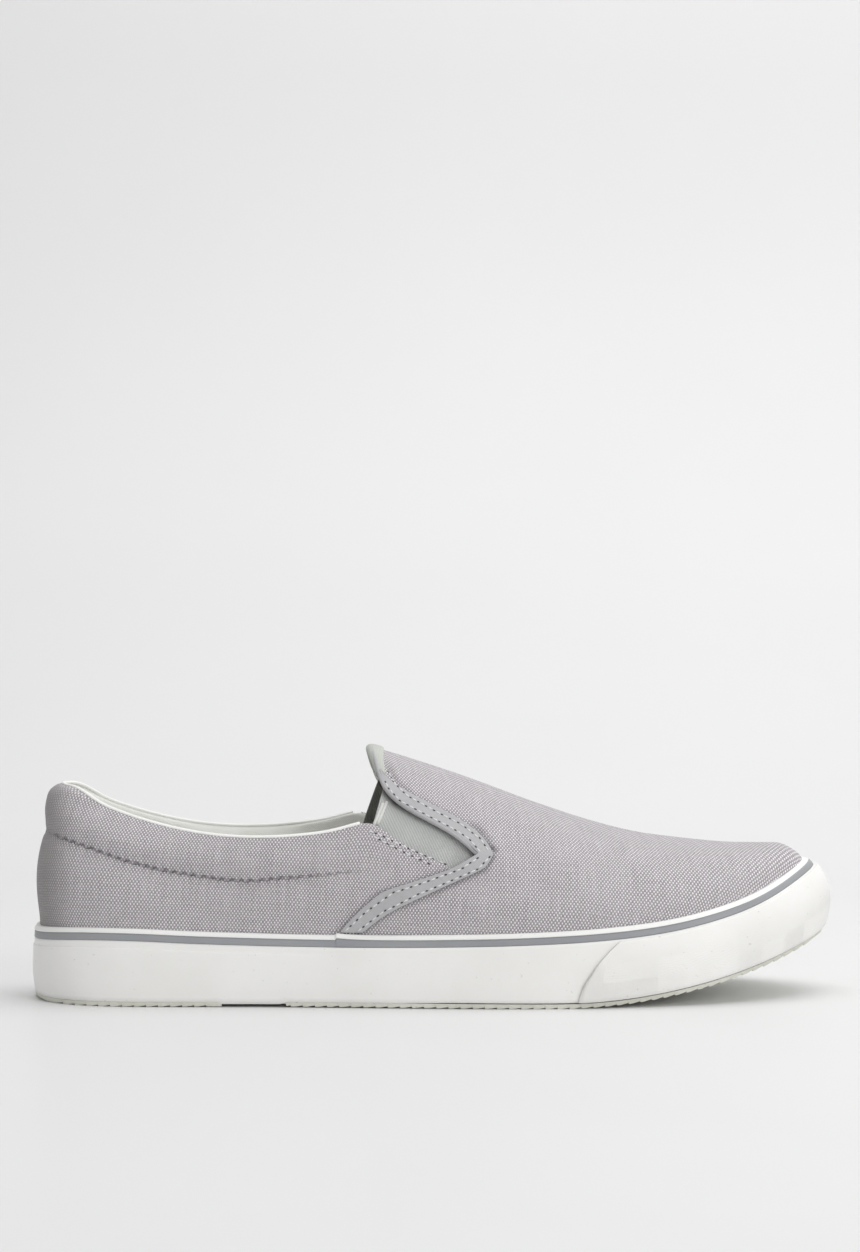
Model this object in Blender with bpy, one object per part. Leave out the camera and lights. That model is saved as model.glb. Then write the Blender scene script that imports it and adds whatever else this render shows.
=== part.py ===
"""Right slip-on skate shoe: canvas upper with elastic gores on a wrapped rubber sole.

Frame: +X from heel to toe, +Y to the medial side, +Z up, origin under the middle of the
shoe's box. The shoe is modelled from its heel at x = 0 and moved there at the end. Every
form comes from the plan outline, the side wall and the upper's skin below, so the pieces
follow each other when a size changes.
"""

import functools
import math
from typing import NamedTuple

import bmesh
import bpy
import numpy as np
from mathutils import Vector

# Sole, metres
SOLE_LENGTH = 0.2908
BALL_WIDTH = 0.1020
HEEL_WIDTH = 0.0750
TOE_SPRING = 0.0236
TOE_SPRING_START = 0.638
HEEL_REST = 0.0602
HEEL_BEVEL = 0.0004
ARCH_CAMBER = 0.0003
TREAD_PITCH = 0.0042
TREAD_DEPTH = 0.00045
TREAD_LAND = 0.0014
TREAD_STEP = 0.0001
END_STEPS = (0.0002, 0.0010, 0.0026, 0.0048)
ARCH_PANEL = (0.235, 0.312)
ARCH_RISE = 0.0010
PLATE_THICKNESS = 0.0016
OUTSOLE_THICKNESS = 0.0050

# Side wall, metres
SIDE_HEIGHT = 0.0280
TOE_LEAN = 0.0092
TOE_TUCK = 0.0032
WIDEST_RISE = 0.30
MIDDLE_RISE = 0.55
WALL_RISE = 0.60
INNER_LOW_RISE = 0.20
FOXING_THICKNESS = 0.0019
TOP_STRIP_HEIGHT = 0.0021
STRIPE_HEIGHT = 0.0026
STRIPE_RECESS = 0.0002
RIDGE_DROP = 0.0027
RIDGE_STEP = 0.00035
RIDGE_SLOPE_RISE = 0.015
RIDGE_END = (0.30, 0.38)
BUMPER_THICKNESS = 0.0008
BUMPER_SET_DOWN = 0.0003
BUMPER_TOP_X = 0.713
BUMPER_FOOT_X = 0.659
BUMPER_FIRST_SPAN = 0.004
PLATE_END_WIDTH = 0.70
RAISED_END_WIDTH = 0.40

# Upper, metres
HEEL_HEIGHT = 0.0766
INSTEP_HEIGHT = 0.0902
WALL = 0.0016
PAD_BAND = 0.0157
PAD_PUFF = 0.0022
PAD_DEPTH = 0.0050
SEAM_PINCH = 0.0006
PAD_END = (0.310, 0.385)
BELLY = 0.00185
BELLY_SHARE = 0.64
FAN_X = 0.155
TAPE_THICKNESS = 0.0009
TAPE_START = 0.12
BINDING_THICKNESS = 0.0009
BINDING_START = 0.08
BINDING_ROLL = 1.5
BINDING_END_GAPS = 2.0
GORE_THICKNESS = 0.0011
GORE_UNDERLAP = 0.0050
GORE_TOP_LAP = 0.0030
GORE_REACH = 0.96
GORE_BEHIND_GAPS = 1.5
INSOLE_SIDE_GAPS = 2.0
RAISED_SIDE_GAPS = 3.0
INSOLE_THICKNESS = 0.0048
GAP = 0.0003

# Mesh
HALF_SAMPLES = 400
QUARTER_COLUMNS = 16
COLLAR_COLUMNS = 12
VAMP_COLUMNS = 19
SEAM_ROW = 5
QUARTER_ROWS = 9
GORE_ROWS = 2
GORE_ACROSS = 5
GORE_ALONG = 7
VAMP_ROWS = 5
TONGUE_SHARES = (0.0, 0.25, 0.5, 0.72, 0.9, 1.0)
MERGE = 0.00002
SIDES = {"lateral": -1.0, "medial": 1.0}


class PlanRow(NamedTuple):
    """One station of the sole's outline: share of its length, half widths as shares."""

    along: float
    lateral: float
    medial: float
    width: float


class SideRow(NamedTuple):
    """Side wall at a share of the length: height, inward lean and bottom tuck as shares."""

    along: float
    height: float
    lean: float
    tuck: float


class CollarRow(NamedTuple):
    """Top of the padded collar: height share of the heel, half widths of HEEL_WIDTH."""

    along: float
    height: float
    lateral: float
    medial: float


class CrestRow(NamedTuple):
    """Top line of tongue, vamp and toe: height share of the instep, section exponents."""

    along: float
    height: float
    across: float
    upward: float


class SpotRow(NamedTuple):
    """A point of a seam seen from the side: shares of SOLE_LENGTH and INSTEP_HEIGHT."""

    along: float
    height: float


TOE_SHIFT = 0.05
PLAN = (
    PlanRow(0.010, 0.213, 0.213, HEEL_WIDTH),
    PlanRow(0.041, 0.360, 0.360, HEEL_WIDTH),
    PlanRow(0.103, 0.473, 0.473, HEEL_WIDTH),
    PlanRow(0.162, 0.503, 0.500, HEEL_WIDTH),
    PlanRow(0.275, 0.535, 0.497, HEEL_WIDTH),
    PlanRow(0.368, 0.428, 0.362, BALL_WIDTH),
    PlanRow(0.447, 0.461, 0.374, BALL_WIDTH),
    PlanRow(0.533, 0.493, 0.410, BALL_WIDTH),
    PlanRow(0.602, 0.508, 0.450, BALL_WIDTH),
    PlanRow(0.653, 0.508, 0.480, BALL_WIDTH),
    PlanRow(0.705, 0.495, 0.496, BALL_WIDTH),
    PlanRow(0.757, 0.463, 0.491, BALL_WIDTH),
    PlanRow(0.825, 0.410, 0.463, BALL_WIDTH),
    PlanRow(0.887, 0.335, 0.412, BALL_WIDTH),
    PlanRow(0.935, 0.249, 0.343, BALL_WIDTH),
    PlanRow(0.973, 0.150, 0.249, BALL_WIDTH),
    PlanRow(0.993, 0.055, 0.156, BALL_WIDTH),
)

SIDE = (
    SideRow(0.00, 0.930, 0.09, 0.60),
    SideRow(0.05, 0.985, 0.10, 0.45),
    SideRow(0.11, 0.993, 0.11, 0.35),
    SideRow(0.206, 0.950, 0.12, 0.35),
    SideRow(0.364, 0.911, 0.13, 0.35),
    SideRow(0.56, 0.939, 0.15, 0.35),
    SideRow(0.68, 0.985, 0.18, 0.38),
    SideRow(0.81, 0.966, 0.28, 0.45),
    SideRow(0.90, 0.980, 0.55, 0.65),
    SideRow(0.963, 1.060, 0.85, 0.90),
    SideRow(1.00, 1.080, 1.00, 1.00),
)

COLLAR = (
    CollarRow(0.0337, 1.000, 0.000, 0.000),
    CollarRow(0.0365, 0.999, 0.078, 0.078),
    CollarRow(0.0430, 0.994, 0.132, 0.130),
    CollarRow(0.0530, 0.980, 0.178, 0.175),
    CollarRow(0.0720, 0.937, 0.230, 0.225),
    CollarRow(0.110, 0.879, 0.288, 0.278),
    CollarRow(0.151, 0.830, 0.334, 0.318),
    CollarRow(0.193, 0.793, 0.370, 0.353),
    CollarRow(0.234, 0.772, 0.413, 0.387),
    CollarRow(0.275, 0.766, 0.447, 0.407),
    CollarRow(0.333, 0.778, 0.473, 0.427),
    CollarRow(0.375, 0.798, 0.487, 0.437),
    CollarRow(0.409, 0.821, 0.493, 0.440),
)

CREST = (
    CrestRow(0.340, 1.020, 2.0, 2.3),
    CrestRow(0.385, 1.005, 2.0, 2.3),
    CrestRow(0.420, 0.990, 2.0, 2.3),
    CrestRow(0.445, 0.967, 2.0, 2.3),
    CrestRow(0.488, 0.925, 2.0, 2.2),
    CrestRow(0.543, 0.866, 2.0, 2.1),
    CrestRow(0.607, 0.790, 2.0, 2.1),
    CrestRow(0.684, 0.700, 2.0, 2.1),
    CrestRow(0.746, 0.623, 2.1, 2.1),
    CrestRow(0.808, 0.559, 2.2, 2.2),
    CrestRow(0.882, 0.475, 2.3, 2.3),
    CrestRow(0.917, 0.437, 2.4, 2.4),
    CrestRow(0.935, 0.411, 2.4, 2.4),
)
CENTRE_SHIFT = (SpotRow(0.50, 0.0), SpotRow(0.70, 0.5), SpotRow(0.86, 0.85), SpotRow(0.96, 1.0))

STRAP_BACK = (
    SpotRow(0.374, 0.289),
    SpotRow(0.398, 0.370),
    SpotRow(0.426, 0.446),
    SpotRow(0.462, 0.480),
    SpotRow(0.511, 0.533),
)
STRAP_FRONT = (
    SpotRow(0.401, 0.289),
    SpotRow(0.435, 0.369),
    SpotRow(0.479, 0.434),
    SpotRow(0.523, 0.495),
    SpotRow(0.550, 0.534),
)
THROAT_TIP = SpotRow(0.543, 0.589)
TAPE_CORNER = SpotRow(0.561, 0.580)
TAPE_SHOULDER = SpotRow(0.552, 0.645)
THROAT = (
    THROAT_TIP,
    SpotRow(0.526, 0.650),
    SpotRow(0.507, 0.683),
    SpotRow(0.481, 0.725),
    SpotRow(0.446, 0.784),
    SpotRow(0.434, 0.828),
    SpotRow(0.4285, 0.865),
)
TONGUE_TOP = (0.4285, 0.4250, 0.4225, 0.4210, 0.4203, 0.4200)
TAPE_SHARE = 0.17
STRAP_CREST_X = 0.592
CORNER_CREST_X = 0.612
TOE_CREST_X = 0.928
TOE_CREST_POWER = 1.1
CORNER = SpotRow(0.4105, 0.697)
GORE_REAR_TOP = SpotRow(0.4330, 0.832)
GORE_FRONT_LOW = SpotRow(0.560, 0.556)
GORE_TOP_SHARES = (0.62, 0.40, 0.20)
STRAP_FRONT_TIP = SpotRow(0.5555, 0.556)

MATERIALS = {
    "canvas": ((0.41, 0.38, 0.40), 0.90),
    "tape": ((0.42, 0.42, 0.43), 0.80),
    "elastic": ((0.50, 0.51, 0.50), 0.85),
    "sole_rubber": ((0.80, 0.80, 0.77), 0.55),
    "stripe_rubber": ((0.30, 0.32, 0.34), 0.55),
    "binding": ((0.52, 0.53, 0.50), 0.75),
    "foam": ((0.72, 0.72, 0.68), 0.90),
}


def column(rows, name):
    """Returns one named column of a table as an array."""
    return np.array([getattr(row, name) for row in rows])


def curve(stations, values, at):
    """Reads the smooth curve through (stations, values) at one or more places."""
    stations, values = np.asarray(stations, float), np.asarray(values, float)
    slopes = np.gradient(values, stations)
    at = np.clip(at, stations[0], stations[-1])
    low = np.clip(np.searchsorted(stations, at) - 1, 0, len(stations) - 2)
    span = stations[low + 1] - stations[low]
    t = (at - stations[low]) / span
    rise = t * t * (3.0 - 2.0 * t)
    lead = t * (1.0 - t) * (1.0 - t) * span * slopes[low]
    trail = t * t * (t - 1.0) * span * slopes[low + 1]
    return values[low] * (1.0 - rise) + values[low + 1] * rise + lead + trail


def ease(value, start, end):
    """Smooth step from 0 at start to 1 at end."""
    t = np.clip((value - start) / (end - start), 0.0, 1.0)
    return t * t * (3.0 - 2.0 * t)


def read(rows, name, x):
    """Reads a table's column at x metres from the heel."""
    return curve(column(rows, "along") * SOLE_LENGTH, column(rows, name), x)


@functools.cache
def outline_halves():
    """Closed smooth outline through PLAN, cut into halves that run from heel to toe."""
    tip = (SOLE_LENGTH, TOE_SHIFT * BALL_WIDTH)
    near = [(r.along * SOLE_LENGTH, -r.lateral * r.width) for r in PLAN]
    far = [(r.along * SOLE_LENGTH, r.medial * r.width) for r in PLAN]
    points = np.array([(0.0, 0.0)] + near + [tip] + far[::-1])
    wrapped = np.vstack([points[-3:], points, points[:4]])
    steps = np.hypot(*np.diff(wrapped, axis=0).T)
    lengths = np.concatenate([[0.0], np.cumsum(steps)])
    heel, toe, end = lengths[3], lengths[4 + len(near)], lengths[3 + len(points)]
    halves = {}
    for side, (start, stop) in {"lateral": (heel, toe), "medial": (end, toe)}.items():
        at = np.linspace(start, stop, HALF_SAMPLES)
        halves[side] = np.column_stack([curve(lengths, wrapped[:, axis], at) for axis in (0, 1)])
    return halves


def outline_at(side, share):
    """Outline point and inward normal at a share of one half, from heel to toe."""
    half = outline_halves()[side]
    steps = np.hypot(*np.diff(half, axis=0).T)
    lengths = np.concatenate([[0.0], np.cumsum(steps)])
    at = share * lengths[-1]
    reach = lengths[-1] / HALF_SAMPLES
    ends = [np.array([np.interp(a, lengths, half[:, i]) for i in (0, 1)])
            for a in (max(at - reach, 0.0), at, min(at + reach, lengths[-1]))]
    along = ends[2] - ends[0]
    along /= np.hypot(*along)
    normal = np.array([along[1], -along[0]]) * SIDES[side]
    if share <= 0.0 or share >= 1.0:
        normal = np.array([1.0 if share <= 0.0 else -1.0, 0.0])
    return ends[1], normal


def share_at(side, x):
    """Share of an outline half at which it passes x."""
    half = outline_halves()[side]
    steps = np.hypot(*np.diff(half, axis=0).T)
    lengths = np.concatenate([[0.0], np.cumsum(steps)]) / steps.sum()
    return float(np.interp(x, half[:, 0], lengths))


def underside(x):
    """Height of the sole's underside: it rests at heel and ball, with toe spring beyond."""
    heel, ball = HEEL_REST * SOLE_LENGTH, TOE_SPRING_START * SOLE_LENGTH
    if x > ball:
        return TOE_SPRING * ((x - ball) / (SOLE_LENGTH - ball)) ** 2
    if x < heel:
        return HEEL_BEVEL * ((heel - x) / heel) ** 2
    return ARCH_CAMBER * math.sin(math.pi * (x - heel) / (ball - heel))


def side_height(x):
    """Height of the side wall above the underside."""
    return float(read(SIDE, "height", x)) * SIDE_HEIGHT


def side_point(side, share, rise, inset):
    """Point of the side wall.

    rise runs from 0 at the underside to 1 at the foxing's top, and inset is measured in
    from the outer face.
    """
    (x, y), (nx, ny) = outline_at(side, share)
    lean = float(read(SIDE, "lean", x)) * TOE_LEAN
    tuck = float(read(SIDE, "tuck", x)) * TOE_TUCK
    below = max(WIDEST_RISE - rise, 0.0) / WIDEST_RISE
    above = max(rise - WIDEST_RISE, 0.0) / (1.0 - WIDEST_RISE)
    inward = inset + tuck * below**2 + lean * above**1.9
    px, py = x + nx * inward, y + ny * inward
    return Vector((px, py, underside(px) + rise * side_height(px)))


@functools.cache
def base_curve(side):
    """Points where the upper leaves the foxing, from heel to toe."""
    shares = np.linspace(0.0, 1.0, HALF_SAMPLES // 2)
    inset = FOXING_THICKNESS + GAP
    return np.array([side_point(side, share, 1.0, inset) for share in shares])


def base_at(side, x):
    """Side position and height of the base curve at x."""
    points = base_curve(side)
    return np.interp(x, points[:, 0], points[:, 1]), np.interp(x, points[:, 0], points[:, 2])


def collar_at(side, x):
    """Side position and height of the collar's top line at x."""
    width = float(read(COLLAR, side, x)) * HEEL_WIDTH * SIDES[side]
    return width, float(read(COLLAR, "height", x)) * HEEL_HEIGHT


def toe_end():
    """Where the crest meets the foxing at the toe."""
    return base_curve("lateral")[-1]


def crest_at(x):
    """Side position and height of the crest line at x."""
    end = toe_end()
    stations = np.append(column(CREST, "along") * SOLE_LENGTH, end[0])
    heights = [r.height * INSTEP_HEIGHT + underside(r.along * SOLE_LENGTH) for r in CREST]
    z = float(curve(stations, np.append(heights, end[2]), x))
    shift = float(read(CENTRE_SHIFT, "height", x)) * TOE_SHIFT * BALL_WIDTH
    return shift, z


class Column(NamedTuple):
    """A vertical plane through the quarter: its base, collar top and outward direction."""

    base: np.ndarray
    top: np.ndarray
    outward: np.ndarray


@functools.cache
def fan_table(side):
    """Angles, radii and heights of base and collar about the heel fan's axis."""
    axis = FAN_X * SOLE_LENGTH
    tables = []
    xs = np.linspace(COLLAR[0].along * SOLE_LENGTH, 1.3 * axis, HALF_SAMPLES)
    collar = np.array([(x, *collar_at(side, x)) for x in xs])
    for points in (base_curve(side), collar):
        points = points[points[:, 0] < 1.3 * axis]
        angle = np.arctan2(axis - points[:, 0], np.abs(points[:, 1]))
        order = np.argsort(angle)
        radius = np.hypot(points[:, 0] - axis, points[:, 1])
        tables.append((angle[order], radius[order], points[order, 2]))
    return tables


def quarter_column(side, station):
    """Column at a station: x in front of the fan's axis, turned about it behind."""
    axis = FAN_X * SOLE_LENGTH
    sign = SIDES[side]
    if station >= axis:
        base_y, base_z = base_at(side, station)
        top_y, top_z = collar_at(side, station)
        base, top = np.array([station, base_y, base_z]), np.array([station, top_y, top_z])
        return Column(base, top, np.array([0.0, sign, 0.0]))
    angle = (1.0 - station / axis) * math.pi / 2.0
    outward = np.array([-math.sin(angle), sign * math.cos(angle), 0.0])
    ends = []
    for angles, radii, heights in fan_table(side):
        point = np.array([axis, 0.0, 0.0]) + outward * np.interp(angle, angles, radii)
        point[2] = np.interp(angle, angles, heights)
        ends.append(point)
    return Column(ends[0], ends[1], outward)


def station_of(point):
    """Station whose column passes through a base point."""
    axis = FAN_X * SOLE_LENGTH
    if point[0] >= axis:
        return float(point[0])
    angle = math.atan2(axis - point[0], abs(point[1]))
    return axis * (1.0 - angle / (math.pi / 2.0))


def belly_at(station, rise, reach):
    """Outward swell of the canvas above the foxing."""
    amount = BELLY * float(curve((0.0, 0.2, 0.42, 0.65, 0.85, 0.93),
                                 (1.0, 0.8, 0.6, 0.4, 0.15, 0.0), station / SOLE_LENGTH))
    return amount * math.sin(math.pi * min(max(rise / reach, 0.0), 1.0))


def pad_rise(column_, z):
    """Share of the padded band at height z, below 0 under its seam."""
    return (z - column_.top[2] + PAD_BAND) / PAD_BAND


def pad_fade(station):
    """1 along the padded collar, 0 in front of it."""
    return 1.0 - float(ease(station / SOLE_LENGTH, *PAD_END))


def section_side(side, x, z):
    """Side position of the full section at x and height z."""
    base_y, base_z = base_at(side, x)
    centre, top = crest_at(x)
    across, upward = float(read(CREST, "across", x)), float(read(CREST, "upward", x))
    share = min(max((z - base_z) / (top - base_z), 0.0), 1.0)
    return centre + (base_y - centre) * (1.0 - share**upward) ** (1.0 / across)


def quarter_point(side, station, z):
    """Point of the quarter's outer skin at a station and height."""
    col = quarter_column(side, station)
    height = max(col.top[2] - col.base[2], 1e-6)
    share = min(max((z - col.base[2]) / height, 0.0), 1.0)
    rear = 1.0 - float(ease(station / SOLE_LENGTH, 0.0, 0.15))
    power = 2.0 + 3.0 * rear
    point = col.base + (col.top - col.base) * share**power
    point[2] = z
    front = float(ease(station / SOLE_LENGTH, 0.33, 0.409))
    if front > 0.0:
        point[1] = (1.0 - front) * point[1] + front * section_side(side, station, z)
    out = belly_at(station, z - col.base[2], BELLY_SHARE * height)
    rise, fade = pad_rise(col, z), pad_fade(station)
    if 0.0 < rise < 1.0:
        out += PAD_PUFF * fade * math.sin(math.pi * rise**1.3)
    out -= SEAM_PINCH * fade * math.exp(-((rise / 0.1) ** 2))
    return point + col.outward * out


def pad_depth(station, z, side):
    """Inward thickness that the padding adds at a station and height."""
    rise = pad_rise(quarter_column(side, station), z)
    if rise <= -0.3 or rise >= 1.0:
        return 0.0
    return PAD_DEPTH * pad_fade(station) * math.sin(math.pi * ((rise + 0.3) / 1.3) ** 1.1)


def vamp_point(side, x, spread):
    """Point of vamp or tongue at x; spread is 1 at the foxing and 0 on the crest."""
    base_y, base_z = base_at(side, x)
    centre, top = crest_at(x)
    across, upward = float(read(CREST, "across", x)), float(read(CREST, "upward", x))
    angle = math.acos(min(max(spread, 0.0), 1.0) ** (across / 2.0))
    z = base_z + (top - base_z) * math.sin(angle) ** (2.0 / upward)
    y = centre + (base_y - centre) * spread
    belly = belly_at(x, z - base_z, BELLY_SHARE * 0.5 * max(top - base_z, 0.001))
    return Vector((x, y + SIDES[side] * belly, z))


def spread_at(side, spot):
    """Spread of a spot seen from the side."""
    x = spot.along * SOLE_LENGTH
    _, base_z = base_at(side, x)
    _, top = crest_at(x)
    upward = float(read(CREST, "upward", x))
    across = float(read(CREST, "across", x))
    share = min(max((spot.height * INSTEP_HEIGHT - base_z) / (top - base_z), 0.0), 1.0)
    return (1.0 - share**upward) ** (1.0 / across)


def spots_at(spots, share):
    """Spot at a share of the way along a row of spots."""
    at = np.array([(s.along * SOLE_LENGTH, s.height * INSTEP_HEIGHT) for s in spots])
    steps = np.hypot(*np.diff(at, axis=0).T)
    lengths = np.concatenate([[0.0], np.cumsum(steps)]) / steps.sum()
    x, z = (float(np.interp(share, lengths, at[:, i])) for i in (0, 1))
    return SpotRow(x / SOLE_LENGTH, z / INSTEP_HEIGHT)


@functools.cache
def column_shares(side):
    """Shares of the outline half at which every wrapped piece has a column."""
    back = share_at(side, STRAP_BACK[0].along * SOLE_LENGTH)
    front = share_at(side, STRAP_FRONT[0].along * SOLE_LENGTH)
    quarter = [back * i / QUARTER_COLUMNS for i in range(QUARTER_COLUMNS + 1)]
    vamp = [front + (1.0 - front) * i / VAMP_COLUMNS for i in range(VAMP_COLUMNS + 1)]
    return quarter + vamp


class Skin(NamedTuple):
    """Grids of (point, wall thickness) of one side: quarter, vamp and tongue."""

    quarter: list
    vamp: list
    tongue: list


STRAP_ROWS = QUARTER_ROWS + GORE_ROWS
ALL_ROWS = STRAP_ROWS + VAMP_ROWS


def row_fraction(row):
    """Share of the strap's length at a row, with the gore's rows at its top."""
    return row / QUARTER_ROWS


def strap_spot(edge, row):
    """Spot of a strap edge at a row: up to the gore's corner, then to its tip."""
    if row <= QUARTER_ROWS:
        return spots_at(edge, row_fraction(row))
    last = THROAT_TIP if edge is STRAP_BACK else STRAP_FRONT_TIP
    return spots_at((edge[-1], last), (row - QUARTER_ROWS) / GORE_ROWS)


def quarter_grid(side, bases):
    """Quarter from the heel's centre to the strap's back edge, foxing to collar and gore."""
    columns = []
    corner_x = CORNER.along * SOLE_LENGTH
    edge_top = strap_spot(STRAP_BACK, QUARTER_ROWS)
    corner_base = station_of(bases[COLLAR_COLUMNS])
    strap = [strap_spot(STRAP_BACK, row) for row in range(QUARTER_ROWS + 1)]
    first, last = strap[0], strap[-1]
    for i in range(QUARTER_COLUMNS):
        base_station = station_of(bases[i])
        weight = (i / QUARTER_COLUMNS) ** 2
        if i <= COLLAR_COLUMNS:
            top_station = corner_x * base_station / corner_base
            top_z = quarter_column(side, top_station).top[2]
        else:
            run = (i - COLLAR_COLUMNS) / (QUARTER_COLUMNS - COLLAR_COLUMNS)
            spot = spots_at((CORNER, edge_top), run)
            top_station, top_z = spot.along * SOLE_LENGTH, spot.height * INSTEP_HEIGHT
        beyond = max(i - COLLAR_COLUMNS, 0) / (QUARTER_COLUMNS - COLLAR_COLUMNS)
        cells = []
        slants = []
        for row in range(QUARTER_ROWS + 1):
            plain = row_fraction(row)
            strapped = (strap[row].along - first.along) / (last.along - first.along)
            slants.append((1.0 - weight) * plain + weight * strapped)
        seam_station = base_station + (top_station - base_station) * slants[SEAM_ROW]
        seam_z = quarter_column(side, seam_station).top[2] - PAD_BAND
        seam_z = (1.0 - beyond) * seam_z + beyond * strap[SEAM_ROW].height * INSTEP_HEIGHT
        for row in range(QUARTER_ROWS + 1):
            station = base_station + (top_station - base_station) * slants[row]
            if row <= SEAM_ROW:
                z = bases[i][2] + (seam_z - bases[i][2]) * row / SEAM_ROW
            else:
                z = seam_z + (top_z - seam_z) * (row - SEAM_ROW) / (QUARTER_ROWS - SEAM_ROW)
            depth = WALL + pad_depth(station, z, side)
            cells.append((Vector(quarter_point(side, station, z)), depth))
        columns.append(cells)
    return columns


def vamp_cells(side, pairs):
    """Skin cells for (x, spread) pairs."""
    return [(vamp_point(side, x, spread), WALL) for x, spread in pairs]


def strap_pairs(side, edge, upper_spot, crest_x):
    """(x, spread) of a strap edge, carried on across the tape to the crest."""
    spots = [strap_spot(edge, row) for row in range(STRAP_ROWS + 1)] + [upper_spot]
    pairs = [(s.along * SOLE_LENGTH, spread_at(side, s)) for s in spots]
    x0, spread0 = pairs[-1]
    angle0 = math.acos(spread0)
    for row in range(1, VAMP_ROWS):
        run = row / (VAMP_ROWS - 1)
        angle = angle0 + (math.pi / 2.0 - angle0) * run
        x = x0 + (crest_x * SOLE_LENGTH - x0) * run
        pairs.append((x, math.cos(angle)))
    pairs[-1] = (pairs[-1][0], 0.0)
    base_x = base_curve(side)[:, 0]
    pairs[0] = (min(pairs[0][0], base_x[-1]), 1.0)
    return pairs


def vamp_grid(side, bases):
    """Vamp from the strap's back edge to the toe's centre, foxing to crest."""
    back = strap_pairs(side, STRAP_BACK, TAPE_SHOULDER, STRAP_CREST_X)
    front = strap_pairs(side, STRAP_FRONT, TAPE_CORNER, CORNER_CREST_X)
    back[0] = (bases[QUARTER_COLUMNS][0], 1.0)
    front[0] = (bases[QUARTER_COLUMNS + 1][0], 1.0)
    columns = [vamp_cells(side, back), vamp_cells(side, front)]
    start_x, end_x = CORNER_CREST_X * SOLE_LENGTH, TOE_CREST_X * SOLE_LENGTH
    slants = [(x - front[0][0]) / (front[-1][0] - front[0][0]) for x, _ in front]
    angles = [math.acos(spread) / (math.pi / 2.0) for _, spread in front]
    for i in range(1, VAMP_COLUMNS + 1):
        run = i / VAMP_COLUMNS
        natural = float(ease(run, 0.0, 0.6))
        base_x = bases[QUARTER_COLUMNS + 1 + i][0]
        crest_x = start_x + (end_x - start_x) * math.sin(run * math.pi / 2.0) ** TOE_CREST_POWER
        half = abs(base_at(side, base_x)[0] - crest_at(base_x)[0])
        pairs = []
        for row in range(ALL_ROWS + 1):
            plain = row / ALL_ROWS
            slant = (1.0 - natural) * slants[row] + natural * plain
            angle = (1.0 - natural) * angles[row] + natural * plain
            x = base_x + (crest_x - base_x) * slant
            here = max(abs(base_at(side, x)[0] - crest_at(x)[0]), 1e-6)
            ratio = min(half / here, 1.0) ** natural
            spread = math.cos(angle * math.pi / 2.0) * ratio
            if i == VAMP_COLUMNS or row == ALL_ROWS:
                spread = 0.0
            pairs.append((x, spread))
        if i == VAMP_COLUMNS:
            cells = [(Vector((x, *crest_at(x))), WALL) for x, _ in pairs]
            cells[0] = (Vector(toe_end()), WALL)
        else:
            cells = vamp_cells(side, pairs)
        columns.append(cells)
    return columns, back


def tongue_grid(side, back):
    """Tongue from the strap's back edge to its top edge, throat to crest."""
    left = [(x, math.acos(spread)) for x, spread in back[STRAP_ROWS:]]
    shares = [0.0] + [TAPE_SHARE + (1.0 - TAPE_SHARE) * i / (VAMP_ROWS - 1) for i in range(VAMP_ROWS)]
    corner = THROAT[-1]
    corner_angle = math.acos(spread_at(side, corner))
    marks = np.linspace(0.0, 1.0, len(TONGUE_TOP))
    right = [(float(np.interp(v, marks, TONGUE_TOP)) * SOLE_LENGTH,
              corner_angle + (math.pi / 2.0 - corner_angle) * v) for v in shares]
    columns = []
    for u in TONGUE_SHARES[1:]:
        throat = spots_at(THROAT, u)
        low = (throat.along * SOLE_LENGTH, math.acos(spread_at(side, throat)))
        top = (left[-1][0] + (right[-1][0] - left[-1][0]) * u, math.pi / 2.0)
        pairs = []
        for row, v in enumerate(shares):
            blend = []
            for axis in (0, 1):
                rails = (1.0 - v) * low[axis] + v * top[axis]
                ends = (1.0 - u) * left[row][axis] + u * right[row][axis]
                corners = (1.0 - v) * ((1.0 - u) * left[0][axis] + u * right[0][axis])
                corners += v * ((1.0 - u) * left[-1][axis] + u * right[-1][axis])
                blend.append(rails + ends - corners)
            spread = 0.0 if row == VAMP_ROWS else math.cos(blend[1])
            pairs.append((blend[0], spread))
        columns.append(vamp_cells(side, pairs))
    return columns


@functools.cache
def skin(side):
    """All skin grids of one side."""
    inset = FOXING_THICKNESS + GAP
    bases = [side_point(side, share, 1.0, inset) for share in column_shares(side)]
    quarter = quarter_grid(side, bases)
    vamp, back = vamp_grid(side, bases)
    quarter.append(vamp[0][: QUARTER_ROWS + 1])
    tongue = [vamp[0][STRAP_ROWS:]] + tongue_grid(side, back)
    return Skin(quarter, vamp, tongue)


def material(name):
    """Returns the named material, made once."""
    found = bpy.data.materials.get(name)
    if found:
        return found
    color, roughness = MATERIALS[name]
    made = bpy.data.materials.new(name)
    made.use_nodes = True
    shader = made.node_tree.nodes["Principled BSDF"]
    shader.inputs["Base Color"].default_value = (*color, 1.0)
    shader.inputs["Roughness"].default_value = roughness
    made.diffuse_color = (*color, 1.0)
    return made


def finish(bm, name, material_name):
    """Turns a bmesh into a smooth-shaded object with its material."""
    bmesh.ops.recalc_face_normals(bm, faces=bm.faces)
    mesh = bpy.data.meshes.new(name)
    bm.to_mesh(mesh)
    bm.free()
    mesh.shade_smooth()
    mesh.set_sharp_from_angle(angle=math.radians(35.0))
    mesh.materials.append(material(material_name))
    made = bpy.data.objects.new(name, mesh)
    bpy.context.scene.collection.objects.link(made)
    return made


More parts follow.
